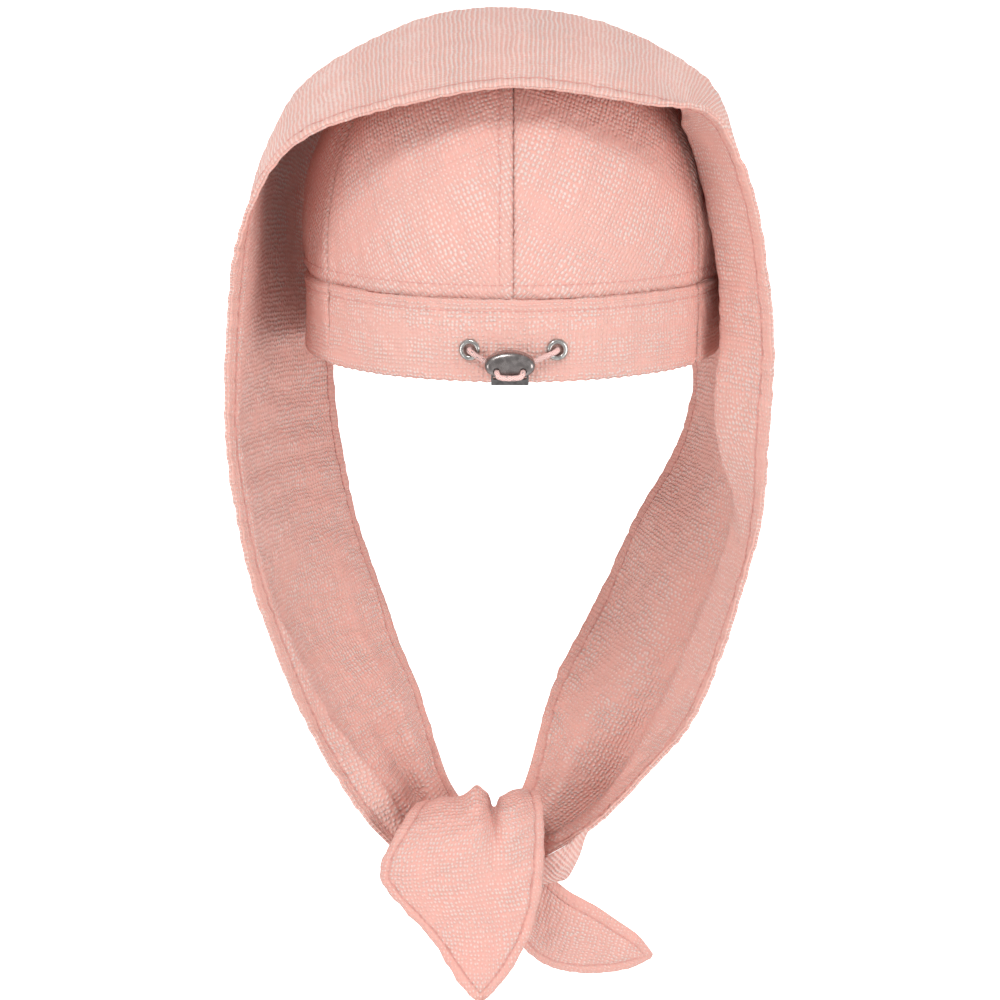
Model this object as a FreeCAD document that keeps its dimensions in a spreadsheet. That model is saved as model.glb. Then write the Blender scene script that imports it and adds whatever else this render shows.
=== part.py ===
# A deep six-panel hat of puckered cotton with a scarf sewn over its crown.
# Frame: millimetres, +Z up, +Y towards the face, -Y towards the nape, +X to the wearer's right.
# The origin is the centre of the head opening, in the plane of the band's lower edge.
import FreeCAD, Part
import math
import os

Vector = FreeCAD.Vector
doc = FreeCAD.newDocument("ScarfHat")

# ---------------------------------------------------------------- driving dimensions
SIZES = [
    ("half_width", 88.5, "outside of the band, side to side, halved"),
    ("half_depth", 100.0, "outside of the band, front to back, halved"),
    ("band_height", 33.5, "height of the band"),
    ("cloth", 1.2, "thickness of the crown and band cloth"),
    ("crown_rise", 102.5, "height of the crown above the band"),
    ("crown_square", 2.5, "how square the crown's profile is"),
    ("tape_width", 12.0, "width of the crown's seam tapes"),
    ("tape_thick", 0.7, "thickness of the crown's seam tapes"),
    ("tape_gap", 11.0, "radius left free of tape under the button"),
    ("button_radius", 6.5, "radius of the covered button"),
    ("button_rise", 2.6, "height of the covered button"),
    ("sweat_thick", 4.2, "thickness of the padded sweatband"),
    ("sweat_height", 30.0, "height of the sweatband"),
    ("tunnel_depth", 3.4, "depth of the drawcord tunnel"),
    ("tunnel_height", 10.4, "height of the drawcord tunnel"),
    ("eyelet_spacing", 34.8, "distance between the two eyelets"),
    ("eyelet_level", 13.0, "height of the eyelets above the band's edge"),
    ("eyelet_radius", 4.4, "outer radius of an eyelet's flange"),
    ("eyelet_hole", 2.15, "radius of an eyelet's hole"),
    ("eyelet_wall", 0.6, "thickness of the eyelet's barrel and flange"),
    ("eyelet_crown", 1.0, "height of the eyelet's rounded flange"),
    ("eyelet_seat", 0.15, "gap between a flat flange and the round band"),
    ("bore_gap", 0.02, "gap round the eyelet's barrel"),
    ("cord_radius", 1.1, "radius of the drawcord"),
    ("cord_inset", 3.3, "depth of the cord's line below the band's outside"),
    ("cord_out", 3.2, "distance of the cord's turn in front of an eyelet"),
    ("lock_shift", -1.5, "sideways place of the cord lock"),
    ("lock_level", 8.4, "height of the cord lock's middle"),
    ("lock_length", 20.0, "length of the oval cord lock"),
    ("lock_tall", 11.2, "height of the oval cord lock"),
    ("lock_deep", 8.5, "depth of the cord lock, front to back"),
    ("lock_back", -104.0, "place of the cord lock's back face"),
    ("lock_round", 2.2, "rounding of the cord lock's rims"),
    ("cord_hole", 1.4, "radius of the cord lock's holes"),
    ("cord_pitch", 10.4, "distance between the two cord holes"),
    ("cord_level", 6.4, "height of the cord holes"),
    ("plunger_width", 14.8, "width of the plunger"),
    ("plunger_deep", 4.6, "depth of the plunger, front to back"),
    ("plunger_low", 0.6, "height of the plunger's lower end"),
    ("plunger_high", 8.6, "height of the plunger's upper end"),
    ("plunger_play", 0.2, "gap round the plunger"),
    ("chamber_low", -4.3, "height of the lower end of the lock's chamber"),
    ("chamber_high", 10.7, "height of the upper end of the lock's chamber"),
    ("foot_round", 0.5, "rounding of the plunger's lower edges"),
    ("press_travel", 2.0, "travel of the plunger"),
    ("spring_radius", 1.6, "mean radius of the spring"),
    ("spring_wire", 0.25, "radius of the spring's wire"),
    ("spring_turns", 5.0, "turns of the spring"),
    ("spring_low", 6.7, "height of the spring's lower end"),
    ("spring_high", 12.8, "height of the spring's upper end"),
    ("spring_gap", 0.3, "gap round the spring"),
    ("spring_play", 0.05, "gap at each end of the spring"),
    ("bore_depth", 4.4, "depth of the spring's bore in the lock"),
    ("brim_width", 48.0, "width of the brim at the front"),
    ("brim_half", 74.0, "half of the brim's greatest width"),
    ("brim_middle", 62.0, "place of the brim's greatest width"),
    ("brim_run", 6.0, "run of the brim behind its greatest width"),
    ("brim_drop", 17.0, "fall of the brim to its edge"),
    ("brim_cloth", 0.9, "thickness of each of the brim's three layers"),
    ("scarf_cloth", 1.2, "thickness of each of the scarf's two layers"),
    ("knot_half_width", 28.0, "half of the knot's width"),
    ("knot_half_deep", 15.0, "half of the knot's depth"),
    ("knot_half_tall", 21.0, "half of the knot's height"),
    ("core_half_wide", 13.0, "half of the knot core's width and depth"),
    ("core_half_tall", 14.0, "half of the knot core's height"),
    ("label_width", 26.0, "width of the blank care label"),
    ("label_height", 14.0, "height of the blank care label"),
    ("label_thick", 0.5, "thickness of the blank care label"),
    ("label_gap", 1.5, "room between the sweatband's middle and the label"),
]

sheet = doc.addObject("Spreadsheet::Sheet", "dims")
for row, (alias, value, meaning) in enumerate(SIZES, start=1):
    sheet.set("A%d" % row, alias)
    sheet.set("B%d" % row, str(value))
    sheet.setAlias("B%d" % row, alias)
    sheet.set("C%d" % row, meaning)
doc.recompute()


def size(alias):
    """The number in the sheet's cell of that name."""
    return float(sheet.get(alias))


# ---------------------------------------------------------------- helpers
kept = []


def keep(obj, label):
    """Names a finished sub-part."""
    obj.Label = label
    kept.append(obj)
    return obj


def bind(obj, **expressions):
    """Binds properties to the sheet; a dot in a path is written as two underscores."""
    for path, expression in expressions.items():
        obj.setExpression(path.replace("__", "."), str(expression))
    return obj


def ellipse(name, across, along, level, forward="0"):
    """A level ellipse whose long axis runs front to back."""
    ring = doc.addObject("Part::Ellipse", name)
    ring.Placement.Rotation = FreeCAD.Rotation(Vector(0, 0, 1), 90)
    bind(ring, MajorRadius=along, MinorRadius=across)
    bind(ring, Placement__Base__y=forward, Placement__Base__z=level)
    return ring


def loft(name, sections):
    skin = doc.addObject("Part::Loft", name)
    skin.Sections = sections
    skin.Solid = True
    return skin


def prism(name, across, along, level, height):
    """An upright oval block."""
    block = doc.addObject("Part::Extrusion", name)
    block.Base = ellipse(name + "_outline", across, along, level)
    block.DirMode = "Custom"
    block.Dir = Vector(0, 0, 1)
    block.Solid = True
    return bind(block, LengthFwd=height)


def head_oval(name, inset, level, height):
    """An upright block of the head's oval, smaller than the band's outside by the inset."""
    across = "dims.half_width - (%s)" % inset
    along = "dims.half_depth - (%s)" % inset
    return prism(name, across, along, level, height)


def box(name, length, width, height):
    block = doc.addObject("Part::Box", name)
    return bind(block, Length=length, Width=width, Height=height)


def move(obj, east, north, up):
    return bind(obj, Placement__Base__x=east, Placement__Base__y=north, Placement__Base__z=up)


def cut(name, base, tool):
    result = doc.addObject("Part::Cut", name)
    result.Base = base
    result.Tool = tool
    return result


def common(name, shapes):
    result = doc.addObject("Part::MultiCommon", name)
    result.Shapes = shapes
    return result


def fuse(name, shapes):
    result = doc.addObject("Part::MultiFuse", name)
    result.Shapes = shapes
    return result


def compound(name, shapes):
    result = doc.addObject("Part::Compound", name)
    result.Links = shapes
    return result


# ---------------------------------------------------------------- half spaces between seams
REACH = 400.0
SEAM_STEP = 60.0


def seam_direction(turn):
    """Heading of the seam at that angle round the oval, in degrees."""
    rise = size("half_depth") * math.sin(math.radians(turn))
    run = size("half_width") * math.cos(math.radians(turn))
    return math.degrees(math.atan2(rise, run))


def half_space(turn):
    """A big block on the left of the line that leaves the origin at that angle."""
    heading = seam_direction(turn)
    block = doc.addObject("Part::Box", "side_of_%d" % (turn % 360))
    block.Length = 2 * REACH
    block.Width = REACH
    block.Height = 2 * REACH
    along = Vector(math.cos(math.radians(heading)), math.sin(math.radians(heading)), 0)
    block.Placement.Rotation = FreeCAD.Rotation(Vector(0, 0, 1), heading)
    block.Placement.Base = along * -REACH + Vector(0, 0, -REACH)
    return block


sides = {turn: half_space(turn) for turn in (30, 90, 150, 210, 270, 330)}

# ---------------------------------------------------------------- crown
CROWN_LEVELS = (0.0, 0.22, 0.45, 0.65, 0.8, 0.91, 0.97, 0.995)


def crown_solid(name, inset):
    """The crown's dome, drawn in from its outside by the inset."""
    rings = []
    for index, level in enumerate(CROWN_LEVELS):
        shrink = "(1 - %g ^ dims.crown_square) ^ (1 / dims.crown_square)" % level
        across = "(dims.half_width - %s) * %s" % (inset, shrink)
        along = "(dims.half_depth - %s) * %s" % (inset, shrink)
        height = "dims.band_height + (dims.crown_rise - %s) * %g" % (inset, level)
        rings.append(ellipse("%s_ring_%d" % (name, index), across, along, height))
    return loft(name, rings)


crown_outside = crown_solid("crown_outside", "0")
crown_inside = crown_solid("crown_inside", "dims.cloth")
crown_shell = cut("crown_shell", crown_outside, crown_inside)

PANELS = (
    ("crown_panel_back_left", 210),
    ("crown_panel_back_right", 270),
    ("crown_panel_right", 330),
    ("crown_panel_front_right", 30),
    ("crown_panel_front_left", 90),
    ("crown_panel_left", 150),
)
for label, start in PANELS:
    past_end = (start + SEAM_STEP + 180) % 360
    panel = common(label, [crown_shell, sides[start], sides[int(past_end)]])
    keep(panel, label)

# Cotton tapes cover the seams inside the crown and stop short of the button's stem.
tape_inside = crown_solid("tape_inside", "(dims.cloth + dims.tape_thick)")
tape_shell = cut("tape_shell", crown_inside, tape_inside)
tape_arms = []
for turn in sides:
    heading = math.radians(seam_direction(turn))
    strip = box("tape_strip_%d" % turn, REACH, "dims.tape_width", REACH)
    strip.Placement.Rotation = FreeCAD.Rotation(Vector(0, 0, 1), math.degrees(heading))
    east = "dims.tape_gap * %g + dims.tape_width / 2 * %g" % (math.cos(heading), math.sin(heading))
    north = "dims.tape_gap * %g - dims.tape_width / 2 * %g" % (math.sin(heading), math.cos(heading))
    move(strip, east, north, 0)
    tape_arms.append(common("tape_arm_%d" % turn, [tape_shell, strip]))
keep(compound("crown_seam_tapes", tape_arms), "crown_seam_tapes")

# A button covered in the same cloth closes the meeting of the six seams.
button_dome = doc.addObject("Part::Ellipsoid", "button_dome")
bind(button_dome, Radius1="dims.button_rise * 2", Radius2="dims.button_radius", Radius3="dims.button_radius")
move(button_dome, 0, 0, "dims.band_height + dims.crown_rise - dims.button_rise")
keep(cut("top_button", button_dome, crown_outside), "top_button")

# ---------------------------------------------------------------- band
band_outside = head_oval("band_outside", "0", "0", "dims.band_height")
band_inside = head_oval("band_inside", "dims.cloth", "0", "dims.band_height")
band_ring = cut("band_ring", band_outside, band_inside)
band_rear_part = common("band_rear_part", [band_ring, sides[210], sides[150]])
keep(cut("band_front", band_ring, band_rear_part), "band_front")

EYELET_SIDES = (("left", -1), ("right", 1))
eyelet_east = size("eyelet_spacing") / 2
eyelet_north = -size("half_depth") * math.sqrt(1 - (eyelet_east / size("half_width")) ** 2)
eyelet_turn = math.degrees(
    math.atan2(eyelet_east / size("half_width") ** 2, -eyelet_north / size("half_depth") ** 2)
)
EYELET_NORTH = "-dims.half_depth * sqrt(1 - (dims.eyelet_spacing / 2 / dims.half_width) ^ 2)"

eyelet_bores = []
for side, sign in EYELET_SIDES:
    bore = doc.addObject("Part::Cylinder", "eyelet_bore_" + side)
    bind(bore, Radius="dims.eyelet_hole + dims.eyelet_wall + dims.bore_gap", Height=8 * size("cloth"))
    outwards = Vector(sign * math.sin(math.radians(eyelet_turn)), -math.cos(math.radians(eyelet_turn)), 0)
    bore.Placement.Rotation = FreeCAD.Rotation(Vector(0, 0, 1), outwards)
    start = Vector(sign * eyelet_east, eyelet_north, size("eyelet_level")) - outwards * 4 * size("cloth")
    bore.Placement.Base = start
    bind(bore, Placement__Base__z="dims.eyelet_level")
    eyelet_bores.append(bore)
band_bores = fuse("band_bores", eyelet_bores)
keep(cut("band_back", band_rear_part, band_bores), "band_back")

# The sweatband is one padded strip; the drawcord lies in a tunnel on its outer side.
sweat_outside = head_oval("sweat_outside", "dims.cloth", "0", "dims.sweat_height")
sweat_inside = head_oval("sweat_inside", "dims.cloth + dims.sweat_thick", "0", "dims.sweat_height")
sweat_ring = cut("sweat_ring", sweat_outside, sweat_inside)
tunnel_floor = "dims.eyelet_level - dims.tunnel_height / 2"
tunnel_outside = head_oval("tunnel_outside", "dims.cloth", tunnel_floor, "dims.tunnel_height")
tunnel_inset = "dims.cloth + dims.tunnel_depth"
tunnel_inside = head_oval("tunnel_inside", tunnel_inset, tunnel_floor, "dims.tunnel_height")
tunnel_ring = cut("tunnel_ring", tunnel_outside, tunnel_inside)
tunnel = common("tunnel", [tunnel_ring, sides[210], sides[150]])
keep(cut("sweatband", sweat_ring, tunnel), "sweatband")

label_panel = box("care_label", "dims.label_width", "dims.label_thick", "dims.label_height")
label_north = "-dims.half_depth + dims.cloth + dims.sweat_thick + dims.label_gap"
move(label_panel, "-dims.label_width / 2", label_north, "dims.sweat_height - dims.label_height")
keep(label_panel, "care_label")


# ---------------------------------------------------------------- eyelets
def body_plane(body, role):
    """The body's own origin plane of that role."""
    for feature in body.Origin.OriginFeatures:
        if feature.Role == role:
            return feature
    raise ValueError(role)


def eyelet_body(side, sign):
    """A stamped ring: a rounded flange in front, a barrel through the band and washer."""
    body = doc.addObject("PartDesign::Body", "eyelet_" + side)
    profile = body.newObject("Sketcher::SketchObject", "eyelet_profile_" + side)
    profile.AttachmentSupport = [(body_plane(body, "XY_Plane"), "")]
    profile.MapMode = "FlatFace"
    hole = size("eyelet_hole")
    barrel = hole + size("eyelet_wall")
    rim = size("eyelet_radius")
    seat = -size("eyelet_seat")
    top = seat - size("eyelet_crown")
    tail = size("cloth") + 2 * size("eyelet_seat") + size("eyelet_wall")
    corners = [Vector(hole, tail, 0), Vector(barrel, tail, 0), Vector(barrel, seat, 0), Vector(rim, seat, 0)]
    for begin, end in zip(corners, corners[1:]):
        profile.addGeometry(Part.LineSegment(begin, end))
    middle = (hole + rim) / 2
    dome = Part.Arc(Vector(rim, seat, 0), Vector(middle, top, 0), Vector(hole, seat, 0))
    profile.addGeometry(dome)
    profile.addGeometry(Part.LineSegment(Vector(hole, seat, 0), corners[0]))
    turned = body.newObject("PartDesign::Revolution", "eyelet_ring_" + side)
    turned.Profile = profile
    turned.ReferenceAxis = (profile, ["V_Axis"])
    turned.Angle = 360
    bind(body, Placement__Base__x="%d * dims.eyelet_spacing / 2" % sign)
    bind(body, Placement__Base__y=EYELET_NORTH, Placement__Base__z="dims.eyelet_level")
    body.Placement.Rotation = FreeCAD.Rotation(Vector(0, 0, 1), sign * eyelet_turn)
    return body


def eyelet_washer(side, sign):
    """The flat ring that the barrel is rolled over, behind the band."""
    disc = doc.addObject("Part::Cylinder", "washer_disc_" + side)
    bind(disc, Radius="dims.eyelet_radius", Height="dims.eyelet_wall")
    hole = doc.addObject("Part::Cylinder", "washer_hole_" + side)
    bind(hole, Radius="dims.eyelet_hole + dims.eyelet_wall + dims.bore_gap", Height="dims.eyelet_wall")
    ring = cut("eyelet_washer_" + side, disc, hole)
    inwards = Vector(-sign * math.sin(math.radians(eyelet_turn)), math.cos(math.radians(eyelet_turn)), 0)
    depth = size("cloth") + size("eyelet_seat")
    ring.Placement = FreeCAD.Placement(
        Vector(sign * eyelet_east, eyelet_north, size("eyelet_level")) + inwards * depth,
        FreeCAD.Rotation(Vector(0, 0, 1), inwards),
    )
    return ring


for side, sign in EYELET_SIDES:
    keep(eyelet_body(side, sign), "eyelet_" + side)
    keep(eyelet_washer(side, sign), "eyelet_washer_" + side)


# ---------------------------------------------------------------- drawcord
def rounded_path(points):
    """Straight runs joined by tangent arcs, each as large as its two runs allow."""
    edges = []
    radii = []
    at = points[0]
    for before, corner, after in zip(points, points[1:], points[2:]):
        arriving = (corner - before).normalize()
        leaving = (after - corner).normalize()
        turn = arriving.getAngle(leaving)
        setback = 0.45 * min((corner - before).Length, (after - corner).Length)
        radii.append(setback / math.tan(turn / 2))
        begin = corner - arriving * setback
        end = corner + leaving * setback
        inward = (leaving - arriving).normalize()
        sagitta = radii[-1] * (1 / math.cos(turn / 2) - 1)
        edges.append(Part.LineSegment(at, begin).toShape())
        edges.append(Part.Arc(begin, corner + inward * sagitta, end).toShape())
        at = end
    edges.append(Part.LineSegment(at, points[-1]).toShape())
    return Part.Wire(edges), radii


def tunnel_point(turn):
    """A point of the cord's way inside the band, at that angle round the oval."""
    inset = size("cord_inset")
    east = (size("half_width") - inset) * math.cos(math.radians(turn))
    north = (size("half_depth") - inset) * math.sin(math.radians(turn))
    return Vector(east, north, size("eyelet_level"))


def mirrored(point):
    return Vector(-point.x, point.y, point.z)


# The cord's way from its left turn behind the lock, through the left hole and round to the loop's foot:
# each point is its place left of the lock's middle, in front of the band's rear point, and up.
NEAR_LOCK = (
    (9.5, 1.8, 8.9),
    (5.2, 1.6, 6.5),
    (5.2, 15.6, 6.1),
    (4.3, 15.9, 1.1),
)
TUNNEL_TURNS = (212.5, 219, 226, 233, 240, 247, 253)


def cord_route():
    """From the left side seam, out of one eyelet, through the lock and back the same way."""
    outwards = Vector(-math.sin(math.radians(eyelet_turn)), -math.cos(math.radians(eyelet_turn)), 0)
    eyelet = Vector(-eyelet_east, eyelet_north, size("eyelet_level"))
    half = [tunnel_point(turn) for turn in TUNNEL_TURNS]
    half.append(eyelet - outwards * size("cord_inset"))
    half.append(eyelet + outwards * size("cord_out"))
    middle = size("lock_shift")
    left_of_lock = [Vector(middle - left, -size("half_depth") - front, up) for left, front, up in NEAR_LOCK]
    right_of_lock = [Vector(middle + left, -size("half_depth") - front, up) for left, front, up in NEAR_LOCK]
    return half + left_of_lock + right_of_lock[::-1] + [mirrored(point) for point in half[::-1]]


route, bend_radii = rounded_path(cord_route())
section = Part.Wire(
    Part.Circle(cord_route()[0], cord_route()[1] - cord_route()[0], size("cord_radius")).toShape()
)
cord = doc.addObject("Part::Feature", "drawcord")
cord.Shape = route.makePipeShell([section], True, False)
cord.Placement = FreeCAD.Placement()
keep(cord, "drawcord")
cord_volume = route.Length * math.pi * size("cord_radius") ** 2
print("drawcord radii", [round(radius, 1) for radius in bend_radii])
print("drawcord length %.1f" % route.Length)
print("drawcord volume ratio %.4f" % (cord.Shape.Volume / cord_volume))

# ---------------------------------------------------------------- cord lock
# An oval metal shell with two holes front to back; a sprung plunger inside pinches the cord.
lock_oval = doc.addObject("Part::Ellipse", "lock_oval")
lock_oval.Placement.Rotation = FreeCAD.Rotation(Vector(1, 0, 0), 90)
bind(lock_oval, MajorRadius="dims.lock_length / 2", MinorRadius="dims.lock_tall / 2")
move(lock_oval, "dims.lock_shift", "dims.lock_back", "dims.lock_level")
lock_block = doc.addObject("Part::Extrusion", "lock_block")
lock_block.Base = lock_oval
lock_block.DirMode = "Custom"
lock_block.Dir = Vector(0, -1, 0)
lock_block.Solid = True
bind(lock_block, LengthFwd="dims.lock_deep")
doc.recompute()
lock_dome = doc.addObject("Part::Fillet", "lock_dome")
lock_dome.Base = lock_block
rims = []
for index, edge in enumerate(lock_block.Shape.Edges, start=1):
    if edge.BoundBox.YLength < 0.01:
        front_rim = edge.BoundBox.YMin < size("lock_back") - 1
        radius = size("lock_round") if front_rim else size("lock_round") / 2
        rims.append((index, radius, radius))
lock_dome.Edges = rims

LOCK_MIDDLE = "dims.lock_back - dims.lock_deep / 2"
play = "dims.plunger_play"
chamber = box(
    "lock_chamber", "dims.plunger_width + 2 * " + play, "dims.plunger_deep + 2 * " + play,
    "dims.chamber_high - dims.chamber_low"
)
move(
    chamber, "dims.lock_shift - dims.plunger_width / 2 - " + play,
    LOCK_MIDDLE + " - dims.plunger_deep / 2 - " + play, "dims.chamber_low"
)
spring_bore = doc.addObject("Part::Cylinder", "spring_bore")
bind(spring_bore, Radius="dims.spring_radius + dims.spring_wire + dims.spring_gap")
bind(spring_bore, Height="dims.bore_depth")
move(spring_bore, "dims.lock_shift", LOCK_MIDDLE, "dims.spring_high + dims.spring_play - dims.bore_depth")


def cord_bore(name, sign):
    bore = doc.addObject("Part::Cylinder", name)
    bore.Placement.Rotation = FreeCAD.Rotation(Vector(1, 0, 0), 90)
    bind(bore, Radius="dims.cord_hole", Height="dims.lock_deep + 2")
    move(
        bore, "dims.lock_shift + %d * dims.cord_pitch / 2" % sign,
        "dims.lock_back + 1", "dims.cord_level"
    )
    return bore


lock_hollow = fuse(
    "lock_hollow", [chamber, spring_bore, cord_bore("cord_bore_left", -1), cord_bore("cord_bore_right", 1)]
)
keep(cut("cord_lock_shell", lock_dome, lock_hollow), "cord_lock_shell")

plunger_block = box(
    "plunger_block", "dims.plunger_width", "dims.plunger_deep", "dims.plunger_high - dims.plunger_low"
)
move(
    plunger_block, "dims.lock_shift - dims.plunger_width / 2",
    LOCK_MIDDLE + " - dims.plunger_deep / 2", "dims.plunger_low"
)


def plunger_slot(name, sign):
    """A slot tall enough for the cord over the plunger's whole travel."""
    slot = box(name, "2 * dims.cord_hole", "dims.plunger_deep + 2", "2 * dims.cord_hole + dims.press_travel")
    middle = "dims.lock_shift + %d * dims.cord_pitch / 2" % sign
    return move(
        slot, middle + " - dims.cord_hole", LOCK_MIDDLE + " - dims.plunger_deep / 2 - 1",
        "dims.cord_level - dims.cord_hole - dims.press_travel"
    )


spring_seat = doc.addObject("Part::Cylinder", "spring_seat")
bind(spring_seat, Radius="dims.spring_radius + dims.spring_wire + dims.plunger_play")
bind(spring_seat, Height="dims.plunger_high")
move(spring_seat, "dims.lock_shift", LOCK_MIDDLE, "dims.spring_low - dims.spring_play")
plunger_slots = [plunger_slot("plunger_slot_left", -1), plunger_slot("plunger_slot_right", 1)]
plunger_voids = fuse("plunger_voids", plunger_slots + [spring_seat])
plunger_body = cut("plunger_body", plunger_block, plunger_voids)
doc.recompute()
plunger = doc.addObject("Part::Fillet", "cord_lock_plunger")
plunger.Base = plunger_body
foot_edges = []
for index, edge in enumerate(plunger_body.Shape.Edges, start=1):
    bounds = edge.BoundBox
    if bounds.ZMax < size("plunger_low") + 0.01:
        foot_edges.append((index, size("foot_round"), size("foot_round")))
plunger.Edges = foot_edges
keep(plunger, "cord_lock_plunger")

coil = doc.addObject("Part::Helix", "spring_line")
bind(coil, Pitch="(dims.spring_high - dims.spring_low - 2 * dims.spring_wire) / dims.spring_turns")
bind(coil, Height="dims.spring_high - dims.spring_low - 2 * dims.spring_wire", Radius="dims.spring_radius")
move(coil, "dims.lock_shift", LOCK_MIDDLE, "dims.spring_low + dims.spring_wire")
wire_end = doc.addObject("Part::Circle", "spring_wire_end")
wire_end.Placement.Rotation = FreeCAD.Rotation(Vector(1, 0, 0), 90)
bind(wire_end, Radius="dims.spring_wire")
move(wire_end, "dims.lock_shift + dims.spring_radius", LOCK_MIDDLE, "dims.spring_low + dims.spring_wire")
spring = doc.addObject("Part::Sweep", "cord_lock_spring")
spring.Sections = [wire_end]
spring.Spine = (coil, ["Edge1"])
spring.Solid = True
spring.Frenet = True
keep(spring, "cord_lock_spring")

# ---------------------------------------------------------------- brim
# A short soft peak at the front: two cloth layers with a stiffener between them.
CONE_HALF = 30.0
BRIM_LONG = "dims.half_depth + dims.brim_width - dims.brim_middle"
BRIM_LAYERS = ("brim_upper", "brim_interlining", "brim_lower")

band_block = head_oval("band_block", "0", -2 * CONE_HALF, 4 * CONE_HALF)
front_space = box("front_space", 2 * REACH, REACH, 2 * REACH)
move(front_space, -REACH, "dims.brim_middle - dims.brim_run", -REACH)
brim_outline = ellipse("brim_outline", "dims.brim_half", BRIM_LONG, -2 * CONE_HALF, "dims.brim_middle")
brim_block = doc.addObject("Part::Extrusion", "brim_block")
brim_block.Base = brim_outline
brim_block.DirMode = "Custom"
brim_block.Dir = Vector(0, 0, 1)
brim_block.Solid = True
brim_block.LengthFwd = 4 * CONE_HALF
brim_front = common("brim_front", [brim_block, front_space])
brim_plan = cut("brim_plan", brim_front, band_block)


def brim_cone(index):
    """A cone whose side is the brim's slope, lower by one layer for each index."""
    cone = doc.addObject("Part::Cone", "brim_cone_%d" % index)
    spread = "%g * dims.brim_width / dims.brim_drop" % CONE_HALF
    bind(cone, Radius1="dims.half_depth + " + spread, Radius2="dims.half_depth - " + spread)
    bind(cone, Height=2 * CONE_HALF)
    return move(cone, 0, 0, "%g - %d * dims.brim_cloth" % (-CONE_HALF, index))


cones = [brim_cone(index) for index in range(len(BRIM_LAYERS) + 1)]
for index, label in enumerate(BRIM_LAYERS):
    layer = cut(label + "_layer", cones[index], cones[index + 1])
    keep(common(label, [layer, brim_plan]), label)

# ---------------------------------------------------------------- scarf
# Each station crosses the scarf: a point on its rear edge, on its ridge and on its front edge.
HEART_LEVEL = 40.0
HOOD_STATIONS = [
    ((-117, -72, 13), (-108, -4, 12), (-84, 56, 6)),
    ((-113, -74, 50), (-106, 0, 54), (-87, 57, 40)),
    ((-105, -76, 70), (-102, 0, 82), (-85, 58, 62)),
    ((-84, -80, 91), (-90, -2, 109), (-77, 62, 88)),
    ((-62, -82, 102), (-66, -4, 127), (-61, 70, 104)),
    ((-34, -84, 110), (-36, -6, 139), (-34, 80, 113)),
    ((0, -84, 113), (0, -8, 144), (0, 85, 116)),
    ((33, -84, 112), (36, -6, 138), (34, 80, 113)),
    ((57, -82, 107), (64, -4, 126), (61, 70, 104)),
    ((79, -79, 101), (84, -2, 111), (77, 62, 88)),
    ((93, -77, 80), (93, 0, 88), (84, 58, 62)),
    ((101, -75, 54), (98, 0, 56), (87, 57, 40)),
    ((106, -72, 14), (101, -4, 12), (84, 56, 6)),
]
TIE_STATIONS = {
    "left": [
        HOOD_STATIONS[0],
        ((-118, -68, -24), (-108, -6, -28), (-81, 50, -32)),
        ((-115, -61, -62), (-104, -4, -67), (-75, 49, -68)),
        ((-107, -50, -106), (-95, 0, -109), (-65, 46, -104)),
        ((-95, -38, -142), (-82, 3, -145), (-53, 40, -137)),
        ((-80, -22, -181), (-66, 8, -181), (-40, 34, -167)),
        ((-55, -8, -219), (-46, 8, -214), (-29, 18, -198)),
    ],
    "right": [
        HOOD_STATIONS[-1],
        ((106, -68, -18), (99, -6, -22), (80, 50, -24)),
        ((104, -60, -60), (95, -4, -61), (70, 49, -58)),
        ((98, -50, -96), (85, 0, -95), (56, 47, -84)),
        ((90, -42, -126), (73, 3, -126), (42, 44, -112)),
        ((80, -32, -159), (60, 6, -159), (26, 39, -145)),
        ((62, -18, -188), (45, 9, -187), (15, 32, -171)),
        ((36, -8, -217), (26, 6, -212), (6, 17, -199)),
    ],
}
STATION_STEPS = 4


def refined(stations):
    """More stations between the given ones, on smooth curves through their points."""
    curves = []
    for column in range(3):
        curve = Part.BSplineCurve()
        points = [Vector(*station[column]) for station in stations]
        curve.interpolate(Points=points, Parameters=[float(index) for index in range(len(points))])
        curves.append(curve)
    amounts = [step / STATION_STEPS for step in range((len(stations) - 1) * STATION_STEPS + 1)]
    return [[curve.value(amount) for curve in curves] for amount in amounts]


def inwards_of(station):
    """The heading towards the head, in the station's own plane and square to its chord."""
    rear, ridge, front = station
    chord = front - rear
    square = chord.cross(ridge - rear).cross(chord).normalize()
    heart = Vector(0, 0, min(ridge.z, HEART_LEVEL))
    return square if square.dot(heart - ridge) > 0 else square * -1


def cross_curve(station, depth, forwards):
    """The smooth curve across the scarf at that depth below its outer face."""
    shift = inwards_of(station) * depth
    rear, ridge, front = [point + shift for point in station]
    pull = ridge * 2 - (rear + front) * 0.5
    ends = (rear, front) if forwards else (front, rear)
    curve = Part.BezierCurve()
    curve.setPoles([ends[0], pull, ends[1]])
    return curve.toShape(), ends


def strip_section(station, outer_depth, inner_depth):
    """A closed thin section of cloth between two depths."""
    outer_edge, outer = cross_curve(station, outer_depth, True)
    inner_edge, inner = cross_curve(station, inner_depth, False)
    front_edge = Part.LineSegment(outer[-1], inner[0]).toShape()
    rear_edge = Part.LineSegment(inner[-1], outer[0]).toShape()
    return Part.Wire([outer_edge, front_edge, inner_edge, rear_edge])


def scarf_piece(label, stations, outer_depth):
    """One layer of cloth through its stations."""
    inner_depth = outer_depth + size("scarf_cloth")
    sections = [strip_section(station, outer_depth, inner_depth) for station in refined(stations)]
    piece = doc.addObject("Part::Feature", label)
    piece.Shape = Part.makeLoft(sections, True, True)
    piece.Placement = FreeCAD.Placement()
    return keep(piece, label)


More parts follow.
